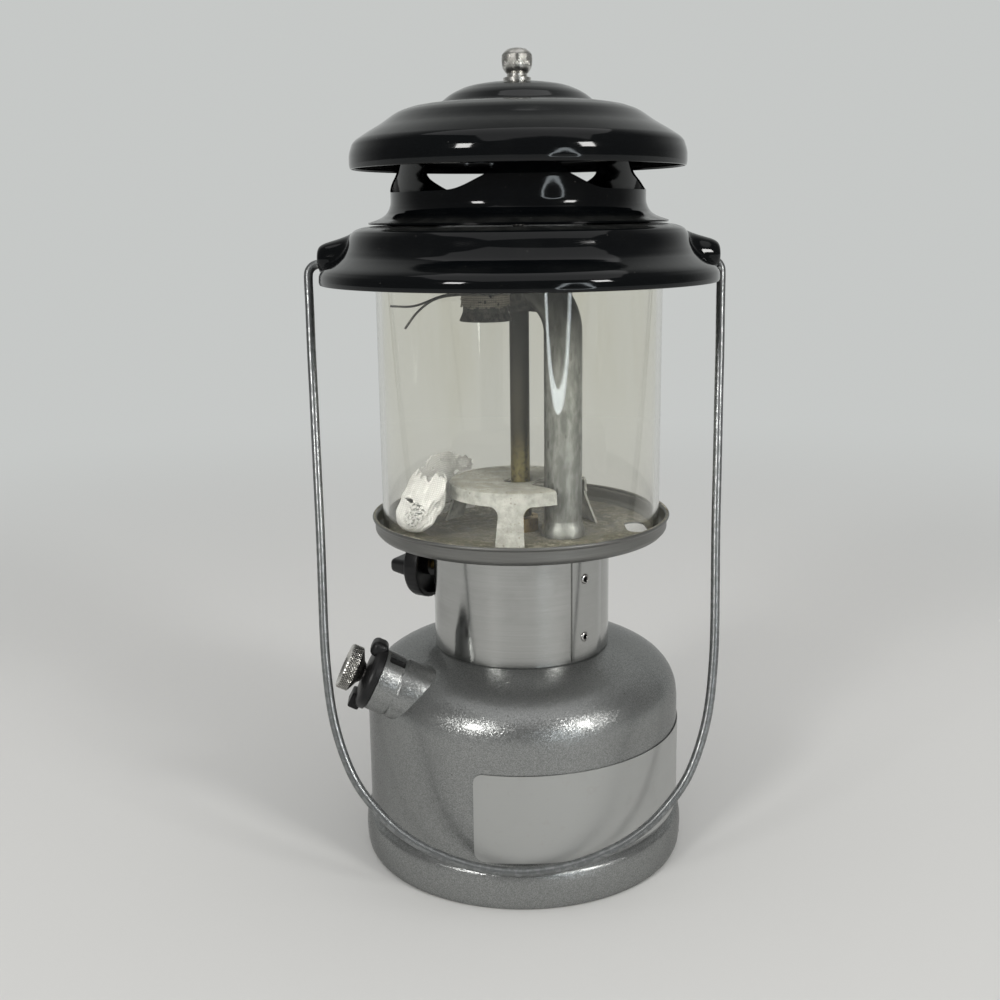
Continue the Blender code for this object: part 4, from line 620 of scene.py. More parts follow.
def make_tray_steel():
    steel = Finish("tray_steel", (0.27, 0.265, 0.26), 0.42, 0.85)
    lines = steel.effect(BRUSHING, Across=1800.0, Along=60.0)
    film = steel.effect(DUST, Scale=150.0, Faces_Up_From=0.75, Amount=1.35)
    crust = steel.effect(PATCHES, Scale=320.0, Detail=7.0, Low=0.40, High=0.66)
    stain = steel.effect(PATCHES, Scale=42.0, Detail=5.0, Low=0.44, High=0.62)
    rust = steel.effect(SPECKS, Scale=640.0, Size=0.24, Share=0.06)
    bare = steel.blend(lines["Lines"], (0.15, 0.15, 0.142), (0.23, 0.23, 0.22))
    grit = steel.effect(PATCHES, Scale=1000.0, Detail=4.0, Low=0.48, High=0.58)
    ash = steel.blend(crust["Mask"], (0.23, 0.22, 0.172), (0.42, 0.405, 0.335))
    ash = steel.blend(grit["Mask"], ash, (0.11, 0.10, 0.078), 0.62)
    ash = steel.blend(stain["Mask"], ash, (0.125, 0.115, 0.09), 0.55)
    ash = steel.blend(rust["Mask"], ash, (0.20, 0.075, 0.035), 0.8)
    cover = steel.maths("MULTIPLY", film["Mask"], 1.0, clamp=True)
    steel.colour(steel.blend(cover, bare, ash))
    steel.metal(steel.between(cover, 0.85, 0.05))
    steel.rough(steel.between(cover, 0.40, 0.90))
    steel.relief(steel.maths("MULTIPLY", crust["Mask"], cover), 0.8, 0.0003)
    return steel.material


TRAY_STEEL = make_tray_steel()
print("finish:", TRAY_STEEL.name)

# %% [markdown]
# ## Black enamel
# The hood is steel under glossy black vitreous enamel. It is nearly a mirror, so most of what is seen
# is reflection: the pale wall behind at grazing angles, the dim room in front, and the lamps. A thin
# film of dust lies on the upper faces. The enamel flowed before it was fired, which leaves a very
# shallow waviness.

# %% Make the enamel


def make_enamel():
    enamel = Finish("black_enamel", (0.002, 0.0025, 0.003), 0.10, Specular_IOR_Level=0.30)
    dust = enamel.effect(DUST, Scale=130.0, Faces_Up_From=0.80, Amount=0.50)
    smears = enamel.effect(PATCHES, Scale=52.0, Detail=5.0, Low=0.50, High=0.78)
    specks = enamel.effect(SPECKS, Scale=520.0, Size=0.12, Share=0.05)
    filmy = enamel.maths("MAXIMUM", dust["Mask"], enamel.maths("MULTIPLY", smears["Mask"], 0.05))
    base = enamel.blend(filmy, (0.002, 0.0025, 0.003), (0.050, 0.051, 0.047))
    enamel.colour(enamel.blend(specks["Mask"], base, (0.13, 0.125, 0.115), 0.35))
    enamel.rough(enamel.between(filmy, 0.07, 0.46))
    enamel.relief(enamel.noise(150.0, 1.0), 0.05, 0.0006)
    return enamel.material


ENAMEL = make_enamel()
print("finish:", ENAMEL.name)

# %% [markdown]
# ## Brass, aluminium and the heated metals
# Inside the globe everything has been hot. The generator's brass is yellow only at its foot, and turns
# brown and then sooty grey towards the flame. The air tube is dull mottled aluminium. The burner's cast
# and steel parts are nearly black. The heat shield is white with fused ash.

# %% Make plain brass and the heat tinted brass


def make_blotched(name, colour, roughness, metallic, patches, tones, rough=None, relief=None):
    """A finish of two tones in patches. patches is its scale, detail, low and high."""
    finish = Finish(name, colour, roughness, metallic)
    values = dict(zip(("Scale", "Detail", "Low", "High"), patches))
    mask = finish.effect(PATCHES, **values)["Mask"]
    finish.colour(finish.blend(mask, *tones))
    if rough:
        finish.rough(finish.between(mask, *rough))
    if relief:
        finish.relief(mask, *relief)
    return finish.material


def make_heat_tint():
    """Yellow at the foot, brown above it, then sooty, by the height above the table."""
    brass = Finish("heat_tinted_brass", (0.10, 0.09, 0.07), 0.55, 0.8)
    cloud = brass.noise(120.0, 4.0, 0.6)
    wander = brass.maths("MULTIPLY", brass.maths("SUBTRACT", cloud, 0.5), 0.012)
    height = brass.maths("ADD", brass.height_of(), wander)
    yellow_to_brown = brass.ramp(height, 0.172, 0.196)
    brown_to_soot = brass.ramp(height, 0.188, 0.236)
    crust = brass.effect(PATCHES, Scale=520.0, Detail=5.0, Low=0.45, High=0.7)
    foot = brass.blend(crust["Mask"], (0.235, 0.20, 0.085), (0.12, 0.105, 0.052))
    middle = brass.blend(yellow_to_brown, foot, (0.068, 0.062, 0.046))
    top = brass.blend(brown_to_soot, middle, (0.036, 0.036, 0.031))
    brass.colour(brass.blend(crust["Mask"], top, (0.045, 0.042, 0.038), 0.25))
    brass.metal(brass.between(brown_to_soot, 0.9, 0.45))
    brass.rough(brass.between(brown_to_soot, 0.40, 0.66))
    brass.relief(crust["Mask"], 0.4, 0.0001)
    return brass.material


BRASS = make_blotched("brass", (0.52, 0.38, 0.16), 0.34, 1.0, (240.0, 5.0, 0.40, 0.70),
                      ((0.56, 0.41, 0.17), (0.34, 0.235, 0.10)), rough=(0.28, 0.50))
HEAT_TINT = make_heat_tint()
print("finishes:", BRASS.name, HEAT_TINT.name)

# %% Make the air tube's aluminium, the burner's sooty metal and the shield's ash
TUBE_STRETCH = 0.35


def make_aluminium():
    tube = Finish("mottled_aluminium", (0.37, 0.375, 0.37), 0.38, 0.9)
    tube.mapping.inputs["Scale"].default_value = (1, 1, TUBE_STRETCH)
    mottle = tube.effect(PATCHES, Scale=330.0, Detail=6.0, Low=0.34, High=0.68)
    heat = tube.ramp(tube.height_of(), 0.212 * TUBE_STRETCH, 0.248 * TUBE_STRETCH)
    stains = tube.effect(SPECKS, Scale=520.0, Size=0.34, Share=0.17)
    tone = tube.blend(mottle["Mask"], (0.21, 0.217, 0.208), (0.38, 0.39, 0.376))
    tone = tube.blend(heat, tone, (0.055, 0.055, 0.050), 0.80)
    tube.colour(tube.blend(stains["Mask"], tone, (0.085, 0.083, 0.076), 0.55))
    tube.rough(tube.between(mottle["Mask"], 0.50, 0.38))
    tube.relief(mottle["Mask"], 0.35, 0.00015)
    return tube.material


def make_ash():
    ash = Finish("fused_ash", (0.55, 0.54, 0.50), 0.88)
    cloud = ash.effect(PATCHES, Scale=170.0, Detail=6.0, Low=0.34, High=0.68)
    crust = ash.effect(PATCHES, Scale=900.0, Detail=4.0, Low=0.38, High=0.70)
    film = ash.effect(DUST, Scale=210.0, Faces_Up_From=0.80, Amount=0.95)
    chips = ash.effect(SPECKS, Scale=620.0, Size=0.30, Share=0.22)
    tone = ash.blend(cloud["Mask"], (0.34, 0.34, 0.315), (0.56, 0.57, 0.54))
    tone = ash.blend(film["Mask"], tone, (0.35, 0.34, 0.285), 0.85)
    ash.colour(ash.blend(chips["Mask"], tone, (0.19, 0.17, 0.14), 0.55))
    ash.relief(crust["Mask"], 0.7, 0.00035)
    return ash.material


ALUMINIUM = make_aluminium()
SOOT = make_blotched("sooty_metal", (0.045, 0.043, 0.040), 0.62, 0.4, (430.0, 6.0, 0.42, 0.66),
                     ((0.032, 0.031, 0.029), (0.11, 0.104, 0.092)), rough=(0.50, 0.78), relief=(0.5, 0.00015))
ASH = make_ash()
print("finishes:", ALUMINIUM.name, SOOT.name, ASH.name)

# %% [markdown]
# ## Plastic, rubber, plated metal and wire
# The pump's cap, the control knob and the filler's cap are black moulded plastic with a fine grain. The
# two knurled pieces are plated brass: the knurl stores how deep it is pressed at each point, and the finish
# goes darker, nearly black, the deeper the point is pressed. The bail is galvanised wire, blotched
# with zinc crystals. Plain steel is for the small hardware.

# %% Make the plastics, the plated metal and the wire


def make_plastic():
    plastic = Finish("black_plastic", (0.006, 0.006, 0.0065), 0.40, Specular_IOR_Level=0.35)
    dust = plastic.effect(DUST, Scale=260.0, Faces_Up_From=0.60, Amount=0.16)
    grain = plastic.noise(2600.0, 2.0)
    plastic.colour(plastic.blend(dust["Mask"], (0.006, 0.006, 0.0065), (0.075, 0.072, 0.066)))
    plastic.rough(plastic.between(dust["Mask"], 0.38, 0.85))
    plastic.relief(grain, 0.30, 0.00006)
    return plastic.material


def make_plated():
    plated = Finish("plated_metal", (0.50, 0.49, 0.46), 0.26, 1.0)
    dull = plated.effect(PATCHES, Scale=420.0, Detail=5.0, Low=0.42, High=0.72)
    pressed = add_node(plated.tree, "ShaderNodeAttribute", attribute_name="groove")
    # The colour darkens towards nearly black as the knurl's depth goes from 0.12 to 0.42 mm.
    darkening = plated.ramp(pressed.outputs["Fac"], 1.2, 4.2)
    tone = plated.blend(dull["Mask"], (0.60, 0.59, 0.56), (0.42, 0.41, 0.38))
    plated.colour(plated.blend(darkening, tone, (0.045, 0.042, 0.036)))
    plated.rough(plated.between(dull["Mask"], 0.26, 0.40))
    return plated.material


def make_wire():
    wire = Finish("galvanised_wire", (0.30, 0.31, 0.32), 0.36, 0.9)
    zinc = wire.effect(PATCHES, Scale=380.0, Detail=3.0, Low=0.46, High=0.56)
    dull = wire.effect(PATCHES, Scale=60.0, Detail=5.0, Low=0.35, High=0.70)
    tone = wire.blend(zinc["Mask"], (0.195, 0.202, 0.204), (0.265, 0.275, 0.275))
    wire.colour(wire.blend(dull["Mask"], tone, (0.14, 0.145, 0.142), 0.30))
    wire.rough(wire.between(zinc["Mask"], 0.40, 0.30))
    wire.relief(zinc["Mask"], 0.1, 0.00004)
    return wire.material


PLASTIC = make_plastic()
RUBBER = make_blotched("rubber", (0.018, 0.017, 0.016), 0.80, 0.0, (330.0, 4.0, 0.45, 0.75),
                       ((0.016, 0.015, 0.014), (0.048, 0.045, 0.042)))
PLATED = make_plated()
WIRE = make_wire()
STEEL = make_blotched("hardware_steel", (0.42, 0.415, 0.40), 0.32, 1.0, (300.0, 4.0, 0.40, 0.72),
                      ((0.50, 0.49, 0.475), (0.24, 0.23, 0.215)), rough=(0.24, 0.48))
LEATHER = make_blotched("oiled_leather", (0.11, 0.055, 0.025), 0.62, 0.0, (900.0, 4.0, 0.35, 0.70),
                        ((0.075, 0.038, 0.018), (0.15, 0.080, 0.038)), relief=(0.4, 0.0001))
print("finishes:", PLASTIC.name, RUBBER.name, PLATED.name, WIRE.name, STEEL.name, LEATHER.name)

# %% [markdown]
# ## Burnt mantle cloth
# A mantle is a little knitted sock that burns to a brittle white ceramic. Its scraps keep the knit: rows
# of loops under a millimetre apart, with a small hollow between each four. The pattern has to follow
# the cloth, so it reads the scrap's own UV map, laid in metres, and two crossing waves make the loops.

# %% Make the scraps' cloth and the ragged remnants'
LOOP_ACROSS, LOOP_ALONG = 0.00075, 0.0009


def make_knit(name, pale, shade, soot_share):
    cloth = Finish(name, pale, 0.92, Specular_IOR_Level=0.2)
    weave_place = add_node(cloth.tree, "ShaderNodeUVMap", uv_map="cloth")
    split = add_node(cloth.tree, "ShaderNodeSeparateXYZ")
    cloth.tree.links.new(weave_place.outputs["UV"], split.inputs[0])
    waves = []
    for axis, pitch in (("X", LOOP_ACROSS), ("Y", LOOP_ALONG)):
        phase = cloth.maths("MULTIPLY", split.outputs[axis], math.pi / pitch)
        waves.append(cloth.maths("ABSOLUTE", cloth.maths("SINE", phase)))
    loops = cloth.maths("MULTIPLY", *waves)
    cloud = cloth.effect(PATCHES, Scale=150.0, Detail=5.0, Low=0.40, High=0.72)
    darkening = cloth.effect(PATCHES, Scale=420.0, Detail=5.0, Low=0.52, High=0.70)
    tone = cloth.blend(loops, shade, pale)
    tone = cloth.blend(cloud["Mask"], tone, shade, soot_share)
    cloth.colour(cloth.blend(darkening["Mask"], tone, (0.20, 0.18, 0.15), soot_share))
    cloth.relief(loops, 0.45, 0.0002)
    return cloth.material


SCRAP_CLOTH = make_knit("burnt_knit", (0.84, 0.845, 0.84), (0.58, 0.58, 0.565), 0.08)
REMNANT_CLOTH = make_knit("burnt_remnant", (0.42, 0.395, 0.34), (0.16, 0.145, 0.12), 0.75)
print("finishes:", SCRAP_CLOTH.name, REMNANT_CLOTH.name)

# %% [markdown]
# ## Globe glass
# The globe is clear heat-proof glass with a faint smoky film, a little browner near the burners. The
# film runs in upright streaks, so its pattern is stretched. A real pane lets the lamps' light in, which
# Cycles would turn into slow noise. So a shadow ray meets a nearly clear Transparent shader instead,
# while the eye sees full glass.

# %% Make the glass
GLASS_STRETCH = 0.22


def make_glass():
    glass = Finish("globe_glass", (0.96, 0.955, 0.94), 0.015, 0.0, IOR=1.47, Transmission_Weight=1.0)
    glass.mapping.inputs["Scale"].default_value = (1, 1, GLASS_STRETCH)
    film = glass.effect(PATCHES, Scale=46.0, Detail=4.0, Low=0.38, High=0.78)
    warm = glass.ramp(glass.height_of(), 0.160 * GLASS_STRETCH, 0.240 * GLASS_STRETCH)
    streaks = glass.between(film["Mask"], 0.25, 1.0)
    smoke = glass.maths("MULTIPLY", streaks, warm)
    glass.colour(glass.blend(smoke, (0.945, 0.938, 0.90), (0.865, 0.845, 0.765)))
    clear = add_node(glass.tree, "ShaderNodeBsdfTransparent")
    clear.inputs["Color"].default_value = (0.95, 0.95, 0.94, 1)
    path = add_node(glass.tree, "ShaderNodeLightPath")
    mix_shaders(glass.tree, path.outputs["Is Shadow Ray"], glass.shader.outputs[0], clear.outputs[0],
                output_of(glass.tree))
    return glass.material


GLASS = make_glass()
print("finish:", GLASS.name)

# %% [markdown]
# ## Turned pieces
# Most of the lantern is round, so most of it is made as a turner or a metal spinner would make it: half
# an outline is drawn, its corners are rounded by bevelling the points, and it is spun round the axis. A
# sheet piece is spun as a thin skin and given its thickness after that. Where a long face meets a small
# rounded corner, plain smooth shading bends the light over the whole face, and turns the globe's wall
# into a lens. The Weighted Normal modifier gives large faces their say, so walls stay straight.

# %% Helpers for outlines, spinning and finished pieces
LARGE_STEPS = 160


def mend_normals(bm):
    """Make neighbouring faces agree on which side is out."""
    bmesh.ops.recalc_face_normals(bm, faces=bm.faces)


def shift(bm, offset):
    """Move everything by an offset in metres."""
    bmesh.ops.translate(bm, verts=bm.verts, vec=offset)


def swing(bm, degrees, axis):
    """Turn everything about one of the main axes."""
    turn = Matrix.Rotation(math.radians(degrees), 3, axis)
    bmesh.ops.rotate(bm, verts=bm.verts, cent=(0, 0, 0), matrix=turn)


def round_off(bm, parts, offset, segments=4, kind="OFFSET", affect="VERTICES"):
    """Round the corners of an outline, or the edges of a solid."""
    bmesh.ops.bevel(bm, geom=parts, offset=offset, offset_type=kind, segments=segments, profile=0.5,
                    affect=affect, clamp_overlap=affect == "EDGES", material=-1)


def flat_face(points):
    """A bmesh of one face, and its corners. The points are in millimetres."""
    bm = bmesh.new()
    verts = [bm.verts.new(Vector(p) * MM) for p in points]
    bm.faces.new(verts)
    return bm, verts


def draw_outline(points, closed=True, soften=None, rounds=None):
    """A wire of (radius, height) points in millimetres. soften rounds every inner corner by that
    percentage of its sides, and rounds gives single corners a radius by index."""
    bm = bmesh.new()
    verts = [bm.verts.new((r * MM, 0, z * MM)) for r, z in points]
    for a, b in zip(verts, verts[1:]):
        bm.edges.new((a, b))
    if closed:
        bm.edges.new((verts[-1], verts[0]))
    if soften:
        round_off(bm, verts if closed else verts[1:-1], soften, kind="PERCENT")
    for index, radius in (rounds or {}).items():
        round_off(bm, [verts[index]], radius * MM)
    return bm


def spin_outline(bm, steps=LARGE_STEPS):
    """Spin a wire a full turn round Z, and close its poles."""
    bmesh.ops.spin(bm, geom=bm.verts[:] + bm.edges[:], axis=(0, 0, 1), cent=(0, 0, 0), angle=TURN,
                   steps=steps, use_merge=True)
    bmesh.ops.remove_doubles(bm, verts=bm.verts, dist=1e-7)
    bmesh.ops.dissolve_degenerate(bm, dist=1e-8, edges=bm.edges)
    mend_normals(bm)
    return bm


def turned(points, steps=LARGE_STEPS, **how):
    """Spin an outline that is given in millimetres."""
    return spin_outline(draw_outline(points, **how), steps)


def give_thickness(bm, thickness):
    """Turn an open skin into a sheet. Its outside stays where it is."""
    bmesh.ops.solidify(bm, geom=bm.faces[:], thickness=thickness)
    mend_normals(bm)
    return bm


def push_out(bm, offset, edges=None):
    """Extrude the faces, or the edges given, and move what that made by the offset."""
    if edges:
        made = bmesh.ops.extrude_edge_only(bm, edges=edges)["geom"]
    else:
        made = bmesh.ops.extrude_face_region(bm, geom=bm.faces[:])["geom"]
    bmesh.ops.translate(bm, verts=[v for v in made if isinstance(v, bmesh.types.BMVert)], vec=offset)
    return bm


def face_along(bm, direction):
    """Turn an open skin so that its farthest face in a direction looks that way."""
    mend_normals(bm)
    farthest = max(bm.faces, key=lambda f: f.calc_center_median().dot(direction))
    if farthest.normal.dot(direction) < 0:
        bmesh.ops.reverse_faces(bm, faces=bm.faces)
    return bm


def face_outward(bm):
    """Turn an open skin round the axis so that its faces look away from the axis."""
    mend_normals(bm)
    if sum(f.normal.dot(f.calc_center_median().xy.to_3d()) for f in bm.faces) < 0:
        bmesh.ops.reverse_faces(bm, faces=bm.faces)
    return bm


def finish_piece(name, bm, body, material, stands_for, sharp_from=38, clean=True, place=None):
    """Make the object, shade it smooth up to an angle, and let it ride on its body. A piece that was
    made upright is first moved to its place."""
    if place is not None:
        bmesh.ops.transform(bm, matrix=place, verts=bm.verts)
    if clean:
        mend_normals(bm)
    mesh = bpy.data.meshes.new(name)
    bm.to_mesh(mesh)
    bm.free()
    mesh.shade_smooth()
    mesh.set_sharp_from_angle(angle=math.radians(sharp_from))
    piece = bpy.data.objects.new(name, mesh)
    scene.collection.objects.link(piece)
    mesh.materials.append(material)
    weighted = piece.modifiers.new("weighted_normals", "WEIGHTED_NORMAL")
    weighted.keep_sharp = True
    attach(piece, body)
    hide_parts(*stands_for)
    print(f"{name}: {len(mesh.polygons)} faces, stands for {', '.join(stands_for)}")
    return piece


def turned_piece(name, points, steps, body, material, node, slot, place=None, sharp_from=38, **how):
    """A piece that is nothing but a spun outline."""
    return finish_piece(name, turned(points, steps, **how), body, material, [node],
                        sharp_from=sharp_from, place=place)


def join_meshes(target, *others):
    """Add other bmeshes to the target and free them."""
    for other in others:
        mesh = bpy.data.meshes.new("joining")
        other.to_mesh(mesh)
        other.free()
        target.from_mesh(mesh)
        bpy.data.meshes.remove(mesh)
    return target


def carve(bm, cutter, operation="DIFFERENCE"):
    """Cut one closed bmesh by another, or weld them, and give back the result."""
    pair = []
    for name, shape in (("carved", bm), ("cutter", cutter)):
        mend_normals(shape)
        mesh = bpy.data.meshes.new(name)
        shape.to_mesh(mesh)
        shape.free()
        obj = bpy.data.objects.new(name, mesh)
        scene.collection.objects.link(obj)
        pair.append(obj)
    cut = pair[0].modifiers.new("cut", "BOOLEAN")
    cut.operation = operation
    cut.solver = "EXACT"
    cut.object = pair[1]
    graph = bpy.context.evaluated_depsgraph_get()
    result = bmesh.new()
    result.from_object(pair[0], graph)
    for obj in pair:
        mesh = obj.data
        bpy.data.objects.remove(obj)
        bpy.data.meshes.remove(mesh)
    return result


print("piece helpers are ready")

# %% Where the tilted parts stand
# Each frame has its Z on the part's own axis, and its origin where that axis leaves the lantern.


def frame_of(side, up, out, origin):
    matrix = Matrix((side, up, out)).transposed().to_4x4()
    matrix.translation = origin
    return matrix


def pump_frame():
    rise, toe = math.radians(26), math.radians(3)
    out = Vector((-math.cos(rise) * math.cos(toe), -math.cos(rise) * math.sin(toe), math.sin(rise)))
    side = out.cross(Vector((0, 0, 1))).normalized()
    return frame_of(side, -out.cross(side), out, Vector((-64.5, -35.0, 90.8)) * MM)


def filler_frame():
    outward = round_from_front(150)
    tilt = math.radians(26)
    up = (outward * math.sin(tilt) + Vector((0, 0, math.cos(tilt)))).normalized()
    side = up.cross(outward).normalized()
    return frame_of(side, up.cross(side), up, Vector((28.0, 48.497, 91.711)) * MM)


def valve_frame():
    out = round_from_front(-118.8)
    up = Vector((0, 0, 1))
    return frame_of(up.cross(out), up, out, Vector((0, 0, 126)) * MM)


PUMP = pump_frame()
FILLER = filler_frame()
VALVE = valve_frame()
print("pump points along", [round(c, 3) for c in PUMP.col[2][:3]])

# %% [markdown]
# ## Tank
# The tank is two drawn steel cups. The upper one is a straight wall under a shoulder that rounds over
# like a flattened egg, so its outline is a superellipse: rounder than a circle at the shoulder, nearly
# flat at the top. The lower cup is folded out into a foot ring and folded back into a channel. The pump
# and the filler need holes in the dome, which are cut through the finished sheet.

# %% Make the tank's upper shell
SHEET = 1.0 * MM
WALL_RADIUS = 71.5
SHOULDER = 68.0
DOME_RISE = 29.5
DOME_SIDE_POWER, DOME_TOP_POWER = 3.2, 2.8


def dome_height(radius, growth=0.0):
    share = max(0.0, 1 - (radius / (WALL_RADIUS + growth)) ** DOME_SIDE_POWER)
    return SHOULDER + (DOME_RISE + growth) * share ** (1 / DOME_TOP_POWER)


def dome_points(inner, growth=0.0, count=34):
    """The dome's outline from an inner radius to the wall, closer together where it turns fast."""
    points = []
    first = math.asin((inner / WALL_RADIUS) ** (DOME_SIDE_POWER / 2))
    for index in range(count + 1):
        angle = first + (math.pi / 2 - first) * index / count
        r = (WALL_RADIUS + growth) * math.sin(angle) ** (2 / DOME_SIDE_POWER)
        points.append((r, dome_height(r, growth)))
    return points


def drill(radius, low, high, place=None, sides=48):
    """A round cutter along Z, or along a frame's Z."""
    bm = bmesh.new()
    bmesh.ops.create_cone(bm, cap_ends=True, segments=sides, radius1=radius * MM, radius2=radius * MM,
                          depth=(high - low) * MM, matrix=Matrix.Translation((0, 0, (low + high) / 2 * MM)))
    if place is not None:
        bmesh.ops.transform(bm, matrix=place, verts=bm.verts)
    return bm


def trim_to_dome(bm):
    """Cut away what runs down inside the dome."""
    inside = dome_points(0.01, -0.7, 30)
    return carve(bm, turned([(0, inside[0][1])] + inside + [(70.8, 20), (0, 20)], 96))


def make_tank_shell():
    points = dome_points(9.6) + [(WALL_RADIUS, z) for z in (56, 44, 32, 21.2, 19.9)]
    points += [(71.35, 19.35), (71.0, 19.1)]
    shell = give_thickness(turned(points, closed=False), SHEET)
    shell = carve(shell, drill(10.3, -60, 0, PUMP))
    shell = carve(shell, drill(8.8, -14, 14, FILLER))
    return finish_piece("tank_upper_shell", shell, "base", TANK_PAINT, ["tank_shell"])


make_tank_shell()

# %% Make the foot ring and the recessed bottom


def make_tank_base():
    points = [(70.2, 23.8), (70.2, 18.6), (71.3, 17.7), (72.9, 16.6), (73.8, 13.6), (74.1, 9.4),
              (73.8, 3.4), (72.9, 0.6), (71.4, 0.0), (70.0, 0.6), (68.9, 3.0), (68.3, 8.0), (66.6, 9.5),
              (40, 9.5), (0, 9.5)]
    base = give_thickness(turned(points, closed=False, soften=34), SHEET)
    return finish_piece("tank_foot", base, "base", TANK_PAINT, ["tank_base"], sharp_from=50)


make_tank_base()

# %% [markdown]
# ## Foil plate
# The plate is a thin flat card of foil, wrapped round the tank. It is made flat first, as a rectangle
# with bevelled corners, and cut into narrow strips with bisect_plane, so that it can be bent. Then every
# point is wrapped round the axis, and solidify gives the foil its quarter of a millimetre.

# %% Helpers that cut flat shapes into strips and roll them up


def cut_strips(bm, first, last, step, along=Vector((1, 0, 0))):
    """Bisect a flat shape at even steps along one direction."""
    count = int((last - first) / step)
    for index in range(1, count + 1):
        bmesh.ops.bisect_plane(bm, geom=bm.verts[:] + bm.edges[:] + bm.faces[:], dist=1e-8,
                               plane_co=along * (first + index * step), plane_no=along)
    return bm


def flat_card(width, height, corner, segments=6):
    """A rectangle in the XZ plane from the origin, with rounded corners."""
    bm = bmesh.new()
    verts = [bm.verts.new(p) for p in ((0, 0, 0), (width, 0, 0), (width, 0, height), (0, 0, height))]
    bm.faces.new(verts)
    round_off(bm, verts, corner, segments)
    return bm


def roll_up(bm, radius, first_angle):
    """Wrap a flat shape in the XZ plane round the axis, from an angle round from the front."""
    for vert in bm.verts:
        angle = math.radians(first_angle) + vert.co.x / radius
        r = radius - vert.co.y
        vert.co = Vector((r * math.sin(angle), -r * math.cos(angle), vert.co.z))
    return bm


def make_plate():
    radius = 72.05 * MM
    width = radius * math.radians(136)
    bm = flat_card(width, 39.6 * MM, 4.2 * MM)
    cut_strips(bm, 0, width, 1.9 * MM)
    shift(bm, (0, 0, 21.2 * MM))
    roll_up(bm, radius, -17.8)
    bmesh.ops.solidify(face_outward(bm), geom=bm.faces[:], thickness=0.25 * MM)
    return finish_piece("foil_plate", bm, "base", FOIL, ["tank_plate"])


make_plate()

# %% [markdown]
# ## Pump
# The pump stands in a short painted sleeve on the dome's left front, 26 degrees above level. Its parts
# are spun upright and then turned into the pump's frame. The sleeve runs down into the dome, and a
# Boolean against a slightly smaller dome trims it just inside the sheet.

# %% Make the pump's sleeve


def make_pump_housing():
    points = [(13.7, -0.2), (13.7, -8.0), (13.05, -9.1), (13.05, -9.7), (13.8, -10.8), (13.8, -44),
              (11.7, -44), (11.7, -0.2), (11.9, 0), (13.5, 0)]
    bm = turned(points, 96)
    slot = flat_card(6.5 * MM, 7.5 * MM, 1.2 * MM)
    shift(slot, (-3.25 * MM, 0, -9.1 * MM))
    push_out(slot, (0, 16 * MM, 0))
    swing(slot, 18, "Z")
    bm = carve(bm, slot)
    bmesh.ops.transform(bm, matrix=PUMP, verts=bm.verts)
    bm = trim_to_dome(bm)
    return finish_piece("pump_sleeve", bm, "base", TANK_PAINT, ["pump_housing"])


make_pump_housing()

# %% Make the pump's cap, with its lug above and its tab below


def rounded_block(size, centre, radius, segments=4):
    """A box with rounded edges, in millimetres."""
    bm = bmesh.new()
    bmesh.ops.create_cube(bm, size=1.0, matrix=Matrix.Translation(Vector(centre) * MM)
                          @ Matrix.Diagonal((size[0] * MM, size[1] * MM, size[2] * MM, 1)))
    round_off(bm, bm.edges[:], radius * MM, segments, affect="EDGES")
    return bm


def make_pump_cap():
    points = [(3.1, 5.5), (6.4, 5.5), (12.8, 4.8), (14.5, 3.4), (14.5, 0.3), (11.9, 0.3), (3.1, 0.3)]
    bm = turned(points, 96, rounds={2: 1.0, 3: 1.3})
    lug = rounded_block((9.6, 7.0, 7.4), (0, 13.3, 4.1), 2.6, 6)
    tab = rounded_block((10, 6.8, 5.0), (0, -11.95, 4.2), 0.9, 3)
    hole = drill(0.9, 2.0, 8.0, Matrix.Translation((2.6 * MM, -13.4 * MM, 0)), 20)
    plug = turned([(11.62, 1.0), (11.62, -10.2), (11.1, -10.6), (11.1, 1.0)], 72)
    bm = join_meshes(bm, lug, carve(tab, hole), plug)
    return finish_piece("pump_end_cap", bm, "base", PLASTIC, ["pump_cap"], place=PUMP)


make_pump_cap()

# %% [markdown]
# ## Knurls and threads
# A knurl or a thread is a regular pattern of small cuts in a turned surface. The blank is spun with
# enough rows and steps to hold the pattern, and each point of the patterned band is pressed inwards by
# a function of its angle and height. A diamond knurl is two crossing helixes, a thread is one.

# %% Helpers that press a pattern into a turned blank


def triangle_wave(x):
    """Zero on whole numbers and one half way between them."""
    return 1 - abs(2 * (x - math.floor(x)) - 1)


def press_pattern(bm, low, high, least_radius, depth):
    """Move the points between two heights inwards by depth(angle, height), and store how far, in tenths
    of a millimetre, as the attribute 'groove'."""
    layer = bm.verts.layers.float.new("groove")
    for vert in bm.verts:
        r = math.hypot(vert.co.x, vert.co.y)
        if low - 1e-7 < vert.co.z < high + 1e-7 and r > least_radius:
            pressed = depth(math.atan2(vert.co.y, vert.co.x), vert.co.z)
            vert[layer] = pressed / (0.1 * MM)
            vert.co.x *= 1 - pressed / r
            vert.co.y *= 1 - pressed / r
    return bm


def diamond_knurl(count, pitch, depth):
    def press(angle, height):
        turns = count * angle / TURN
        rise = height / pitch
        return depth * (1 - min(triangle_wave(turns + rise), triangle_wave(turns - rise)))
    return press


def straight_knurl(count, depth):
    return lambda angle, height: depth * (1 - triangle_wave(count * angle / TURN))


def thread(pitch, depth):
    return lambda angle, height: depth * (1 - triangle_wave(height / pitch - angle / TURN))


def rows(radius, low, high, count):
    """Points down a straight wall, for a pattern to use."""
    return [(radius, high + (low - high) * index / count) for index in range(count + 1)]


print("knurl and thread helpers are ready")

# %% Make the pump's knob and its hollow rod


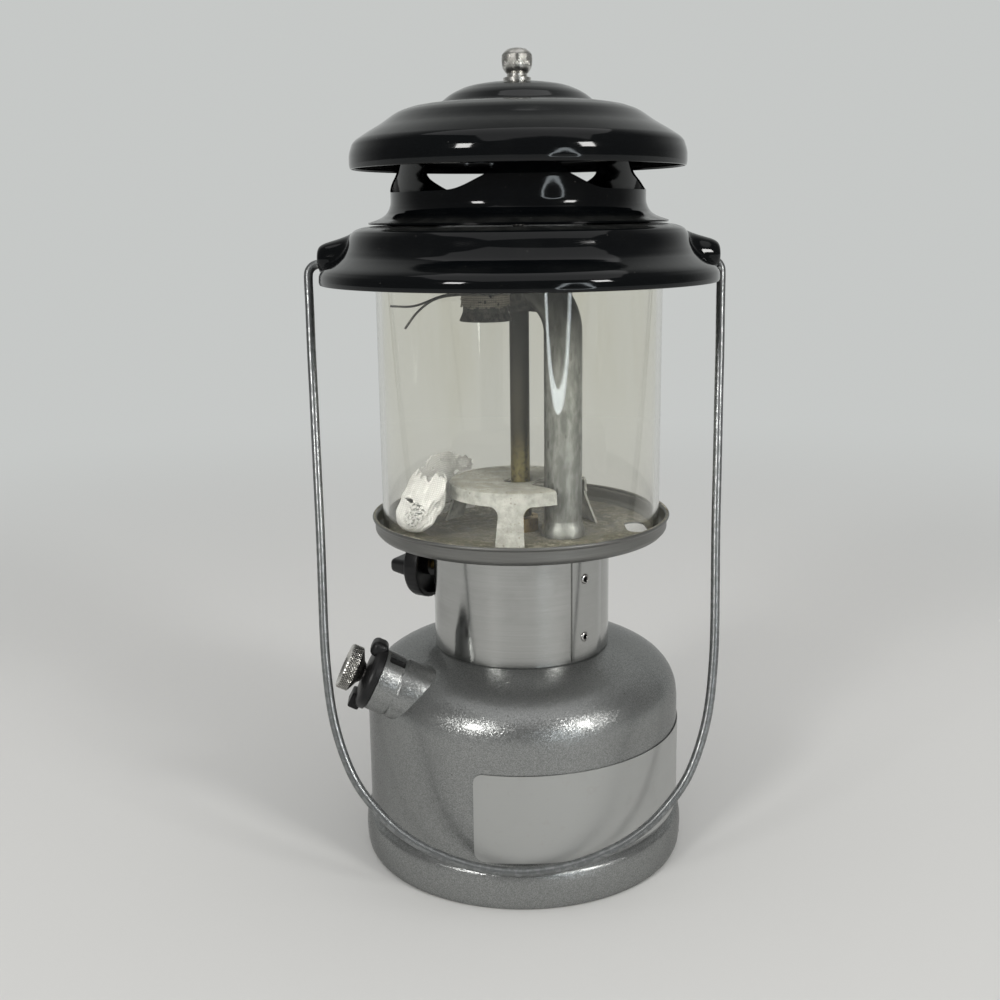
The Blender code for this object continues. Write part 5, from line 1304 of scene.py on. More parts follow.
def make_pump_knob():
    face, rim = 14.8, 9.4
    points = [(0, 14.0), (6.6, 14.0), (7.0, 14.3), (7.6, face), (9.6, face), (10.2, 14.2)]
    points += rows(10.2, 10.0, 14.2, 18)[1:]
    points += [(9.4, rim), (5.2, 7.4), (3.9, 6.0), (2.8, 6.0), (2.8, 12.1), (0, 12.1)]
    bm = turned(points, 216, closed=False)
    press_pattern(bm, 10.0 * MM, 14.2 * MM, 9.9 * MM, diamond_knurl(48, 1.33 * MM, 0.42 * MM))
    return finish_piece("pump_pull_knob", bm, "plunger", PLATED, ["pump_knob"],
                        sharp_from=32, place=PUMP)


make_pump_knob()
turned_piece("pump_hollow_rod", [(2.5, 11.8), (2.5, -84.2), (1.5, -84.2), (1.5, 11.8)], 40,
             "plunger", STEEL, "pump_rod", "bare_steel", PUMP)

# %% [markdown]
# ## Filler
# The filler stands on the far shoulder. Its neck has a thread pressed into it, which shows when the cap
# is lifted. The cap is black plastic with nine finger flutes, pressed inwards like the knurls.

# %% Make the filler's neck, gasket and cap


def make_filler_neck():
    points = rows(11.0, -1.0, 8.4, 36) + [(11.0, -14), (8.8, -14), (8.8, 8.6), (9.1, 9.0), (10.7, 9.0)]
    bm = turned(points, 96)
    press_pattern(bm, 2.2 * MM, 8.0 * MM, 10.5 * MM, thread(1.5 * MM, 0.55 * MM))
    bmesh.ops.transform(bm, matrix=FILLER, verts=bm.verts)
    bm = trim_to_dome(bm)
    return finish_piece("filler_threaded_neck", bm, "base", TANK_PAINT, ["filler_neck"])


def finger_flutes(angle, _height):
    """Nine round hollows down the cap's side."""
    share = triangle_wave(9 * angle / TURN)
    return 0.85 * MM * max(0.0, (share - 0.45) / 0.55) ** 0.7


def make_filler_cap():
    points = [(0, 14.2), (9.8, 14.2), (10.3, 13.8), (11.6, 13.8), (12.4, 14.2), (13.2, 14.1), (14.0, 13.4)]
    points += rows(14.2, 4.9, 13.0, 5) + [(13.9, 4.2), (11.3, 4.2), (11.3, 11.2), (0, 11.2)]
    bm = turned(points, 180, closed=False)
    press_pattern(bm, 4.2 * MM, 14.12 * MM, 12.8 * MM, finger_flutes)
    return finish_piece("filler_fluted_cap", bm, "cap", PLASTIC, ["filler_cap"],
                        place=FILLER)


make_filler_neck()
turned_piece("filler_seal", [(6.6, 9.3), (11.0, 9.3), (11.0, 10.9), (6.6, 10.9)], 64,
             "gasket", RUBBER, "filler_gasket", "rubber", FILLER, soften=14)
make_filler_cap()

# %% [markdown]
# ## Collar
# The collar is a strip of stainless steel bent round, with one end lapped over the other and held by
# two hollow rivets. The lap shows as an upright edge right of the middle. The band is a full ring, and
# the lapping end is a second layer over it that eases down into the ring after the rivets.

# %% Make the collar with its lap
COLLAR = 39.8
COLLAR_LOW, COLLAR_HIGH = 96.1, 147.3
LAP_FROM, LAP_TO, LAP_END = 32, 54, 63
LAP_RISE = 0.62
RIVET_ANGLE, RIVET_HEIGHTS = 42, (133.2, 106.9)


def rivet_place(height):
    out = round_from_front(RIVET_ANGLE)
    return point_along(out, out * (COLLAR + LAP_RISE) * MM + Vector((0, 0, height * MM)))


def make_collar():
    points = [(COLLAR, COLLAR_HIGH), (COLLAR, 122), (COLLAR, COLLAR_LOW)]
    band = give_thickness(turned(points, 192, closed=False), 0.6 * MM)
    band = carve(band, drill(8.5, 24, 47, VALVE))
    sweep = math.radians(LAP_END - LAP_FROM) * COLLAR * MM
    lap = flat_card(sweep, (COLLAR_HIGH - COLLAR_LOW) * MM, 0.5 * MM, 2)
    cut_strips(lap, 0, sweep, 0.7 * MM)
    shift(lap, (0, 0, COLLAR_LOW * MM))
    for vert in lap.verts:
        angle = LAP_FROM + math.degrees(vert.co.x / (COLLAR * MM))
        ease = min(1.0, max(0.0, (angle - LAP_TO) / (LAP_END - LAP_TO)))
        vert.co.y = -(LAP_RISE - 0.66 * ease * ease * (3 - 2 * ease)) * MM
    roll_up(lap, COLLAR * MM, LAP_FROM)
    bmesh.ops.solidify(face_outward(lap), geom=lap.faces[:], thickness=0.55 * MM)
    for height in RIVET_HEIGHTS:
        band, lap = (carve(sheet, drill(1.3, -6, 3, rivet_place(height), 24)) for sheet in (band, lap))
    return finish_piece("collar_lapped_band", join_meshes(band, lap), "base", STAINLESS, ["collar_band"])


make_collar()

# %% Make the two hollow rivets
EYELET = [(1.1, -1.6), (1.1, 0.2), (1.3, 0.55), (1.65, 0.65), (2.05, 0.42), (2.3, 0.0), (1.5, -0.1),
          (1.3, -1.6)]
for rivet, height in zip(("collar_rivet_upper", "collar_rivet_lower"), RIVET_HEIGHTS):
    turned_piece(f"{rivet}_eyelet", EYELET, 40, "base", STEEL, rivet, "bare_steel", rivet_place(height),
                 soften=25)

# %% [markdown]
# ## Fuel valve and control knob
# Behind the collar's left side a spindle comes out to a round black knob with a grip fin. The knob is a
# moulded cup: a spun disc with rounded edges, a tapered fin across its face, and a sunken screw. All of
# it is made upright and then turned into the valve's frame.

# %% Make the packing nut, the spindle, the knob and its screw


def hex_nut(radius, low, high, hole, chamfer):
    """A hexagon with its corners turned off and a round hole."""
    bm = bmesh.new()
    bmesh.ops.create_cone(bm, cap_ends=True, segments=6, radius1=radius * MM, radius2=radius * MM,
                          depth=(high - low) * MM, matrix=Matrix.Translation((0, 0, (low + high) / 2 * MM)))
    cone = [(0, low), (radius - chamfer, low), (radius, low + 0.6 * chamfer), (radius, high - 0.6 * chamfer),
            (radius - chamfer, high), (0, high)]
    bm = carve(bm, turned(cone, 72, closed=False), "INTERSECT")
    return carve(bm, drill(hole, low - 1, high + 1))


def make_control_knob():
    points = [(0, 55), (14.0, 55), (16.0, 53.6), (16.0, 47.6), (15.4, 47.0), (14.0, 47.0), (14.0, 51.0),
              (5.5, 51.0), (5.5, 47), (2.7, 47), (2.7, 50), (0, 50)]
    disc = turned(points, 96, closed=False, rounds={1: 0.9, 2: 0.9})
    press_pattern(disc, 47.5 * MM, 53.7 * MM, 15.6 * MM, straight_knurl(32, 0.22 * MM))
    fin = bmesh.new()
    bmesh.ops.create_cube(fin, size=1.0, matrix=Matrix.Translation((0, 0, 58.0 * MM))
                          @ Matrix.Diagonal((30.4 * MM, 7.8 * MM, 12.6 * MM, 1)))
    for vert in fin.verts:
        if vert.co.z > 58 * MM:
            vert.co.x *= 0.78
            vert.co.y *= 0.82
    round_off(fin, fin.edges[:], 2.3 * MM, 5, affect="EDGES")
    fin = carve(fin, drill(2.9, 60, 65))
    bm = join_meshes(disc, fin)
    return finish_piece("control_knob_moulding", bm, "spindle", PLASTIC, ["control_knob"],
                        place=VALVE)


def make_knob_screw():
    points = [(0, 61.9), (1.6, 61.8), (2.3, 61.5), (2.6, 61.0), (2.6, 60.3), (0, 60.3)]
    bm = turned(points, 40, closed=False)
    slot = rounded_block((6.4, 0.8, 1.6), (0, 0, 62.1), 0.05, 1)
    bm = carve(bm, slot)
    return finish_piece("knob_slotted_screw", bm, "spindle", STEEL, ["knob_screw"], place=VALVE)


finish_piece("valve_packing_nut", hex_nut(7.4, 24.3, 31.3, 2.7, 0.8), "base", BRASS, ["packing_nut"],
             place=VALVE)
turned_piece("valve_spindle", [(0, 60), (2.0, 60), (2.4, 59.6), (2.4, 14), (0, 14)], 40,
             "spindle", BRASS, "valve_stem", "brass", VALVE, closed=False)
make_control_knob()
make_knob_screw()

# %% [markdown]
# ## Tray
# The tray is a shallow pan pressed from one sheet, with a small step in its floor and an upright rim
# that is rolled at the top. An oval hole lets a match in, and a round one lies under the air tube.

# %% Make the tray
AIR_TUBE_TURN, AIR_TUBE_OUT = 61.2, 22.9


def slot_cutter(centre, length, width, low, high):
    """An upright cutter with round ends, long in Y."""
    bm = flat_card(width * MM, length * MM, width * 0.4999 * MM, 12)
    shift(bm, (-width / 2 * MM, 0, -length / 2 * MM))
    swing(bm, 90, "X")
    shift(bm, (centre[0] * MM, centre[1] * MM, low * MM))
    return push_out(bm, (0, 0, (high - low) * MM))


def make_tray():
    points = [(64.9, 156.6), (65.35, 157.1), (66.2, 157.15), (66.7, 156.5), (66.5, 155.8), (65.6, 155.3),
              (65.5, 153.5), (65.5, 150.9), (63.6, 148.8), (62.0, 148.8), (43.6, 148.8), (41.4, 147.6),
              (24, 147.6), (5.7, 147.6)]
    bm = turned(points, 192, closed=False, soften=28)
    give_thickness(bm, 0.8 * MM)
    bm = carve(bm, slot_cutter((52, -3.2), 19, 9.6, 146, 152))
    under_tube = Matrix.Translation(round_from_front(AIR_TUBE_TURN, AIR_TUBE_OUT * MM))
    bm = carve(bm, drill(7.3, 146, 150, under_tube))
    return finish_piece("pressed_tray", bm, "base", TRAY_STEEL, ["tray"])


make_tray()

# %% [markdown]
# ## Heat shield
# The shield is one stamping: a dished disc whose edge turns down, with three legs that spread to the
# tray. The edge and its legs are drawn as one flat strip, with rounded corners where a leg leaves the
# edge, then cut into strips, rolled up to meet the disc, and the legs are bent outwards.

# %% Make the heat shield
SHIELD = 31.0
SHIELD_TOP, SHIELD_EDGE, SHIELD_FOOT = 172.3, 165.7, 148.7
SHIELD_STEPS = 156
SHIELD_TURN = -66.5


def flat_shield_edge():
    """The edge and its three legs, unrolled in the XZ plane, from the middle between two legs."""
    around = TURN * SHIELD
    points = [(0, SHIELD_EDGE)]
    fillets = []
    for index in range(3):
        middle = around * (index + 0.5) / 3
        fillets += [len(points), len(points) + 3]
        points += [(middle - 5.2, SHIELD_EDGE), (middle - 5.2, SHIELD_FOOT), (middle + 5.2, SHIELD_FOOT),
                   (middle + 5.2, SHIELD_EDGE)]
    points += [(around, SHIELD_EDGE), (around, SHIELD_TOP - 2.0), (0, SHIELD_TOP - 2.0)]
    bm, verts = flat_face((x, 0, z) for x, z in points)
    round_off(bm, [verts[i] for i in fillets], 4.2 * MM, 6)
    cut_strips(bm, 0, around * MM, around * MM / SHIELD_STEPS)
    cut_strips(bm, SHIELD_FOOT * MM, SHIELD_TOP * MM, 1.7 * MM, Vector((0, 0, 1)))
    return bm


def make_heat_shield():
    edge = flat_shield_edge()
    roll_up(edge, SHIELD * MM, SHIELD_TURN)
    for vert in edge.verts:
        down = max(0.0, (167.2 - vert.co.z / MM) / (167.2 - SHIELD_FOOT))
        grow = 1 + 7.0 * down ** 1.12 / SHIELD
        vert.co.x *= grow
        vert.co.y *= grow
    drops = [(6.2, 1.5), (7.4, 0.8), (18, 0.5), (25, 0.1), (29.2, 0.4), (30.6, 1.0), (SHIELD, 2.0)]
    disc = draw_outline([(r, SHIELD_TOP - drop) for r, drop in drops], closed=False)
    swing(disc, SHIELD_TURN - 90, "Z")
    spin_outline(disc, SHIELD_STEPS)
    bm = join_meshes(disc, edge)
    bmesh.ops.remove_doubles(bm, verts=bm.verts, dist=0.02 * MM)
    bmesh.ops.solidify(face_along(bm, Vector((0, 0, 1))), geom=bm.faces[:], thickness=0.9 * MM)
    around_tube = [(-8, 9), (8, 9), (17, 31), (17, 44), (-17, 44), (-17, 31)]
    notch, verts = flat_face((x, y, 147) for x, y in around_tube)
    round_off(notch, verts[:2], 4 * MM, 6)
    push_out(notch, (0, 0, 27 * MM))
    swing(notch, AIR_TUBE_TURN - 180, "Z")
    bm = carve(bm, notch)
    shift(bm, (-1.2 * MM, 0, 0))
    return finish_piece("three_legged_shield", bm, "base", ASH, ["heat_shield"])


make_heat_shield()

# %% [markdown]
# ## Generator and air tube
# The generator is an upright brass tube on a jam nut. The air tube stands beside it with a flared foot,
# and bends over into the mixing chamber. A bent pipe is easy with spin: the upright part is a spun
# outline, and its open top edge is spun once more, a quarter turn, about the bend's own level axis.

# %% Make the generator and its nut
finish_piece("tray_jam_nut", hex_nut(9.0, 148.7, 154.7, 5.7, 0.9), "base", BRASS,
             ["generator_jam_nut"])
turned_piece("generator_pipe",
             [(4.3, 246.4), (4.3, 214), (4.3, 163.2), (4.7, 162.6), (5.1, 161.8), (5.1, 155.6),
              (4.7, 155.0), (2.2, 155.0), (2.2, 246.4)],
             64, "base", HEAT_TINT, "generator_tube", "heat_tinted_brass", rounds={0: 0.3})

# %% Make the air tube


def spin_bend(bm, loop_height, centre, axis, degrees, steps):
    """Carry the open edge at a height round a bend, and merge it to the pipe below."""
    ring = [e for e in bm.edges if e.is_boundary and all(abs(v.co.z - loop_height) < 1e-6 for v in e.verts)]
    ring_verts = list({v for e in ring for v in e.verts})
    bmesh.ops.spin(bm, geom=ring + ring_verts, cent=centre, axis=axis, angle=math.radians(degrees),
                   steps=steps, use_merge=False)
    bmesh.ops.remove_doubles(bm, verts=bm.verts, dist=1e-6)
    return bm


def make_air_tube():
    out = round_from_front(AIR_TUBE_TURN)
    top, bend_centre = 237.8, 2.9
    points = [(8.3, top), (8.3, 200), (8.3, 157.5), (8.35, 155.6), (8.7, 153.9), (9.3, 152.2), (9.75, 150.2),
              (9.85, 148.7)]
    bm = turned(points, 64, closed=False, soften=20)
    shift(bm, out * AIR_TUBE_OUT * MM)
    centre = out * bend_centre * MM + Vector((0, 0, top * MM))
    level = Vector((0, 0, 1)).cross(out)
    spin_bend(bm, top * MM, centre, level, -88, 18)
    bmesh.ops.solidify(face_along(bm, out), geom=bm.faces[:], thickness=1.0 * MM)
    shift(bm, (-1.5 * MM, 0, 0))
    return finish_piece("bent_air_tube", bm, "base", ALUMINIUM, ["air_tube"])


make_air_tube()

# %% [markdown]
# ## Burners
# Over the generator is a round mixing chamber with an arm to each side. Each arm turns down into a
# burner tube, over which a steel cap with a flared lip is pressed. The arm's elbow is the air tube's
# trick again: a ring carried along and then round with spin.

# %% Make the mixing chamber with its two arms
BURNERS = {"near": -28.8, "far": 151.2}
BURNER_OUT = 29.6
ARM_AXIS, ARM_MOUTH = 263.2, 248.7


def make_arm(angle):
    """One arm from the chamber out, round an elbow and down to the burner's mouth."""
    out = round_from_front(angle)
    bend = 9.0
    bm = bmesh.new()
    bmesh.ops.create_circle(bm, cap_ends=False, radius=6.8 * MM, segments=40)
    shift(bm, (0, 0, ARM_MOUTH * MM))
    push_out(bm, (0, 0, (ARM_AXIS - bend - ARM_MOUTH) * MM), bm.edges[:])
    shift(bm, out * BURNER_OUT * MM)
    centre = out * (BURNER_OUT - bend) * MM + Vector((0, 0, (ARM_AXIS - bend) * MM))
    spin_bend(bm, (ARM_AXIS - bend) * MM, centre, Vector((0, 0, 1)).cross(out), -90, 14)
    end = [e for e in bm.edges if e.is_boundary and sum(v.co.z for v in e.verts) / 2 > 255 * MM]
    push_out(bm, -out * (BURNER_OUT - bend - 3.0) * MM, end)
    bmesh.ops.holes_fill(bm, edges=[e for e in bm.edges if e.is_boundary], sides=0)
    mend_normals(bm)
    return bm


def make_manifold():
    points = [(0, 271.7), (7.0, 271.7), (9.4, 270.9), (10, 269.2), (10, 248.2), (9.2, 246.7), (3.3, 246.7),
              (3.3, 256.7), (0, 256.7)]
    chamber = turned(points, 72, closed=False, rounds={2: 0.8})
    bm = join_meshes(chamber, *(make_arm(angle) for angle in BURNERS.values()))
    return finish_piece("mixing_chamber", bm, "base", SOOT, ["burner_manifold"])


make_manifold()

# %% Make the two burner caps


def make_burner_cap(side, angle):
    points = [(9.3, 256.1), (9.3, 249.6), (9.45, 248.1), (9.9, 246.8), (10.7, 245.1), (10.8, 244.5),
              (10.3, 244.4), (9.9, 244.9), (6.7, 244.9), (6.7, 245.7), (7.9, 245.7), (7.9, 256.1)]
    bm = turned(points, 64, soften=22)
    shift(bm, round_from_front(angle, BURNER_OUT * MM))
    return finish_piece(f"flared_burner_{side}", bm, "base", SOOT, [f"burner_cap_{side}"])


for side, angle in BURNERS.items():
    make_burner_cap(side, angle)

# %% [markdown]
# ## Globe
# The globe is a plain tube of heat-proof glass whose two rims were fire polished, so they are rounded.
# The rounding matters: a polished rim catches light as a thin bright ring.

# %% Make the globe


def make_globe():
    points = [(62.0, 266.9), (62.0, 149.9), (59.6, 149.9), (59.6, 266.9)]
    bm = draw_outline(points, rounds={corner: 1.1 for corner in range(4)})
    bmesh.ops.remove_doubles(bm, verts=bm.verts, dist=1e-7)
    spin_outline(bm, 224)
    return finish_piece("glass_globe", bm, "globe", GLASS, ["globe"], sharp_from=60)


make_globe()

# %% [markdown]
# ## Hood
# Four enamelled pressings make the hood: an inner ring that sits on the glass, the wide skirt with an
# ear at each side for the bail, the neck with its three windows, and the canopy. Each is spun from its
# outline. The enamel is thick, so every edge is softly rounded.

# %% Make the inner ring, the neck and the canopy
HOOD_STEPS = 192
HOOD_SHEET = 0.8 * MM
WINDOW_SILL = 284.437 + 12.3
WINDOW_HALF, WINDOW_TALL, WINDOW_TURN = 39, 8.8, 3.2


def make_inner_ring():
    points = [(60.4, 281.8), (58.0, 281.7), (57.2, 280.6), (57.2, 270.0), (57.9, 268.6), (59.6, 268.0),
              (64.6, 268.0)]
    bm = give_thickness(turned(points, HOOD_STEPS, closed=False, soften=25), 0.7 * MM)
    return finish_piece("hood_inner_ring", bm, "hood", ENAMEL, ["inner_baffle"])


def window_cutter(turn):
    """A window's outline, wide at the top and rounded at the sill, pushed out through the neck."""
    shares = [(0.46, 0), (0.66, 0.06), (0.78, 0.27), (0.95, 0.72), (1, 1.05)]
    right = [(WINDOW_HALF * x, WINDOW_SILL + WINDOW_TALL * z) for x, z in shares] + [(WINDOW_HALF, 341)]
    outline = right + [(-x, z) for x, z in right[::-1]]
    bm, verts = flat_face((x, -16, z) for x, z in outline)
    round_off(bm, verts[:5] + verts[-5:], 34, kind="PERCENT")
    push_out(bm, (0, -52 * MM, 0))
    swing(bm, turn, "Z")
    return bm


def make_neck():
    points = [(46, 329.33), (50.32, 319.45), (52.99, 310.92), (54.18, 303.06), (54.4, 297.45), (54.4, 292.29),
              (55.22, 289.82), (56.58, 287.8), (59.51, 285.92), (64.2, 284.44)]
    bm = give_thickness(turned(points, HOOD_STEPS, closed=False, soften=30), HOOD_SHEET)
    for index in range(3):
        bm = carve(bm, window_cutter(WINDOW_TURN + 120 * (index + 0.5)))
    return finish_piece("windowed_neck", bm, "hood", ENAMEL, ["hood_neck"])


def make_canopy():
    points = [(3.5, 341.3), (13.57, 340.77), (21.63, 339.37), (28.27, 336.45), (33.6, 332.2), (35.4, 331.95),
              (38.5, 332.0), (45.34, 331.05), (51.41, 329.0), (58.3, 324.2), (63.4, 321.36), (69.6, 317.43),
              (71.3, 312.5), (71.4, 308.2), (71.0, 306.5), (70.4, 306.4)]
    bm = give_thickness(turned(points, HOOD_STEPS, closed=False, soften=30), HOOD_SHEET)
    return finish_piece("domed_canopy", bm, "hood", ENAMEL, ["canopy"])


make_inner_ring()
make_neck()
make_canopy()

# %% [markdown]
# The skirt's ears are pressed out of the same sheet, so they grow from it in a smooth curve. The skirt is
# spun with fine rows. Near each side every point is pushed outwards along X, up to the surface of a
# rounded boss. Long edges on the boss's steep sides are then split, and the new points pushed again.

# %% Make the skirt with its two ears
EAR_Z, EAR_RADIUS, EAR_HOLE_Z = 269.5, 8.3, 267.3
EAR_SHARES = [(0, 86.9), (2.6, 86.85), (4.2, 86.5), (5.3, 85.8), (6.1, 84.7), (6.8, 83.0), (7.5, 80.6),
              (8.5, 77.2), (10.4, 71.8), (14.0, 62.0), (30.0, 20.0)]


def boss_reach(y, z):
    """How far out along X the ear's surface lies over a point of its face, in millimetres: a blunt
    nose, then a cone that widens towards the hood."""
    away = math.hypot(y, z - EAR_Z)
    for (a0, x0), (a1, x1) in zip(EAR_SHARES, EAR_SHARES[1:]):
        if away <= a1:
            return x0 + (x1 - x0) * (away - a0) / (a1 - a0)
    return 0.0


def smooth_larger(a, b, blend):
    """The larger of two numbers, with a soft change from one to the other."""
    share = max(0.0, blend - abs(a - b)) / blend
    return max(a, b) + share * share * blend / 4


def press_ears(verts, sheet_x):
    """Push points outwards to the ears. sheet_x remembers where the bare skirt was."""
    for vert in verts:
        y, z = vert.co.y / MM, vert.co.z / MM
        side = 1 if vert.co.x > 0 else -1
        bare = sheet_x(y, z, abs(vert.co.x) / MM)
        vert.co.x = side * smooth_larger(bare, boss_reach(y, z), 2.6) * MM
    return verts


print("an ear stands out to", boss_reach(0, EAR_Z), "mm at height", EAR_Z)

# %% Make the skirt


def make_skirt():
    points = [(60.5, 283.3), (66.64, 282.7), (70.48, 281.37), (72.28, 279), (73.68, 274.5), (75.86, 271.25),
              (78.93, 268.95), (84.18, 265.62), (85.84, 263.37), (86.1, 260.2), (85.8, 259.1), (85.2, 259.0)]
    wire = draw_outline(points, closed=False, soften=30)
    bmesh.ops.subdivide_edges(wire, edges=[e for e in wire.edges if e.calc_length() > 1.3 * MM], cuts=1)
    bmesh.ops.subdivide_edges(wire, edges=[e for e in wire.edges if e.calc_length() > 1.5 * MM], cuts=2)
    line = sorted(((v.co.z / MM, v.co.x / MM) for v in wire.verts))
    bm = spin_outline(wire, 288)

    def sheet_x(y, z, now):
        """The bare skirt's X over a point, from its outline, or the point's own where it hasn't one."""
        for (z0, r0), (z1, r1) in zip(line, line[1:]):
            if z0 <= z <= z1 and z1 - z0 > 1e-6:
                r = r0 + (r1 - r0) * (z - z0) / (z1 - z0)
                return math.sqrt(max(0.0, r * r - y * y))
        return now

    def near_ears():
        return [v for v in bm.verts if math.hypot(v.co.y / MM, v.co.z / MM - EAR_Z) < EAR_RADIUS + 7
                and abs(v.co.x) > 50 * MM and v.co.z < 282.4 * MM]

    press_ears(near_ears(), sheet_x)
    for _ in range(4):
        close = set(near_ears())
        long_edges = [e for e in bm.edges if e.calc_length() > 1.5 * MM and e.verts[0] in close
                      and e.verts[1] in close]
        if not long_edges:
            break
        bmesh.ops.subdivide_edges(bm, edges=long_edges, cuts=1, use_grid_fill=True)
        press_ears(near_ears(), sheet_x)
    mend_normals(bm)
    give_thickness(bm, HOOD_SHEET)
    for side in (-1, 1):
        place = point_along(Vector((side, 0, 0)), Vector((0, 0, EAR_HOLE_Z * MM)))
        bm = carve(bm, drill(2.2, 78, 90, place, 32))
    return finish_piece("eared_skirt", bm, "hood", ENAMEL, ["hood_skirt"], sharp_from=60)


make_skirt()

# %% [markdown]
# ## Stud, ball nut and bail
# A threaded stud rises from the mixing chamber through the canopy, and the knurled ball nut holds the
# hood down on it. The bail is one galvanised wire. Its path is drawn as points, and a curve with a round
# bevel sweeps the wire along it, because a wire that bends both ways has no single axis to spin about.

# %% Make the stud and the ball nut


def make_stud():
    points = [(0, 350.1), (1.7, 350.1)] + [(2.4, 349.4)] + rows(2.4, 318, 349.0, 190) + [(2.4, 272), (0, 272)]
    bm = turned(points, 24, closed=False)
    press_pattern(bm, 318.2 * MM, 349.2 * MM, 2.2 * MM, thread(0.8 * MM, 0.30 * MM))
    return finish_piece("threaded_stud", bm, "base", STEEL, ["top_stud"], sharp_from=50)


def make_ball_nut():
    low, tall, wide = 341.6, 13.3, 6.5
    shares = [(0.0, 1.0), (0.30, 0.995), (0.62, 0.955), (0.84, 0.87)]
    shares += [(0.97 + 0.03 * math.sin(math.pi * i / 14), 0.80 - 0.34 * i / 14) for i in range(15)]
    shares += [(0.91, 0.38), (0.76, 0.27), (0.66, 0.22), (0.66, 0.15), (0.74, 0.13), (0.90, 0.10),
               (0.90, 0.0)]
    points = [(wide * r, low + tall * z) for r, z in shares]
    points += [(2.7, low), (2.7, low + 9.8), (0, low + 9.8)]
    bm = turned(points, 144, closed=False)
    press_pattern(bm, (low + 0.455 * tall) * MM, (low + 0.805 * tall) * MM, 6.0 * MM,
                  diamond_knurl(34, 1.25 * MM, 0.38 * MM))
    return finish_piece("knurled_ball_nut", bm, "nut", PLATED, ["ball_nut"], sharp_from=32)


make_stud()
make_ball_nut()

# %% Make the bail


def bend_wire(name, points, radius, sides=5, closed=False, shares=None):
    """Sweep a round wire along points with a smooth curve, and give it back as a bmesh."""
    curve = bpy.data.curves.new(name, "CURVE")
    curve.dimensions = "3D"
    curve.bevel_depth = radius
    curve.bevel_resolution = sides
    curve.use_fill_caps = True
    spline = curve.splines.new("POLY")
    spline.points.add(len(points) - 1)
    for index, (slot, point) in enumerate(zip(spline.points, points)):
        slot.co = (*point, 1)
        slot.radius = shares[index] if shares else 1.0
    spline.use_cyclic_u = closed
    holder = bpy.data.objects.new(name, curve)
    scene.collection.objects.link(holder)
    bm = bmesh.new()
    bm.from_mesh(bpy.data.meshes.new_from_object(holder.evaluated_get(bpy.context.evaluated_depsgraph_get())))
    bpy.data.objects.remove(holder)
    bpy.data.curves.remove(curve)
    bmesh.ops.remove_doubles(bm, verts=bm.verts, dist=1e-7)
    mend_normals(bm)
    return bm


def smooth_path(points, pieces, passes=1):
    """Catmull-Rom points through the given ones."""
    path = [Vector(p) for p in points]
    padded = [2 * path[0] - path[1]] + path + [2 * path[-1] - path[-2]]
    fine = []
    for a, b, c, d in zip(padded, padded[1:], padded[2:], padded[3:]):
        for index in range(pieces):
            t = index / pieces
            fine.append(0.5 * (2 * b + (c - a) * t + (2 * a - 5 * b + 4 * c - d) * t * t
                               + (3 * b - a - 3 * c + d) * t ** 3))
    fine.append(path[-1])
    for _ in range(passes):
        fine = [fine[0]] + [(p + 2 * q + r) / 4 for p, q, r in zip(fine, fine[1:], fine[2:])] + [fine[-1]]
    return fine


BAIL_HALF = [(88.9, 7.5), (88.5, 15.6), (88.1, 25.6), (87.6, 38.9), (86.7, 57.4), (85.8, 77.8), (84.9, 97.2),
             (84, 116.7), (83.3, 137.3), (82.7, 155.6), (82.1, 167.1), (81.3, 176.3), (80.1, 186.7),
             (78.2, 197.1), (75.1, 207.8), (71.1, 217.8), (66.6, 225.5), (61.3, 232.1), (55.5, 238.3),
             (48.9, 243.7), (41.6, 248.3), (33.8, 252), (25.9, 255), (17.8, 257.2), (9, 258.7), (0, 259.3)]


BAIL_LEAN, BAIL_HINGE = 16.8, 267.297
BAIL_STRETCH, BAIL_SHIFT = 1.0026, -1.75


def make_bail():
    corner = [(81.4, 0)]
    corner += [(88.9 - 4.6 * (1 - math.sin(a)), 4.6 * (1 - math.cos(a)))
               for a in (math.radians(15 * k) for k in range(0, 7))]
    half = corner + BAIL_HALF
    both = [(-x, d) for x, d in half] + half[::-1][1:]
    lean = math.radians(BAIL_LEAN)
    path = [Vector((BAIL_STRETCH * x + BAIL_SHIFT, -d * math.sin(lean), BAIL_HINGE - d * math.cos(lean))) * MM
            for x, d in both]
    bm = bend_wire("bail", smooth_path(path, 4, 2), 1.95 * MM, 8)
    return finish_piece("galvanised_bail", bm, "bail", WIRE, ["bail"], sharp_from=50)


make_bail()

# %% [markdown]
# ## What is left of the mantles
# A burnt mantle is a sheet of brittle ash cloth. Each piece is made from a flat grid that keeps the
# flat place of every point as its UV, which the knit follows. The grid is then shaped: round the burner
# for a remnant, curled and folded for a scrap. Faces are dropped where the cloth has crumbled away.

# %% Helpers for burnt cloth


def flat_cloth(width, height, columns, lines):
    """A flat grid in the XZ plane from the origin, with its place stored as the UV map 'cloth'."""
    bm = bmesh.new()
    bmesh.ops.create_grid(bm, x_segments=columns, y_segments=lines, size=0.5)
    for vert in bm.verts:
        vert.co = Vector(((vert.co.x + 0.5) * width, 0, (vert.co.y + 0.5) * height))
    layer = bm.loops.layers.uv.new("cloth")
    for face in bm.faces:
        for loop in face.loops:
            loop[layer].uv = (loop.vert.co.x, loop.vert.co.z)
    return bm


def crumble(bm, gone):
    """Drop the faces where gone(u, v) is true, by their place in the flat cloth."""
    layer = bm.loops.layers.uv["cloth"]
    lost = []
    for face in bm.faces:
        middle = sum((loop[layer].uv for loop in face.loops), Vector((0, 0))) / len(face.loops)
        if gone(middle.x, middle.y):
            lost.append(face)
    bmesh.ops.delete(bm, geom=lost, context="FACES")
    loose = [v for v in bm.verts if not v.link_faces]
    bmesh.ops.delete(bm, geom=loose, context="VERTS")
    return bm


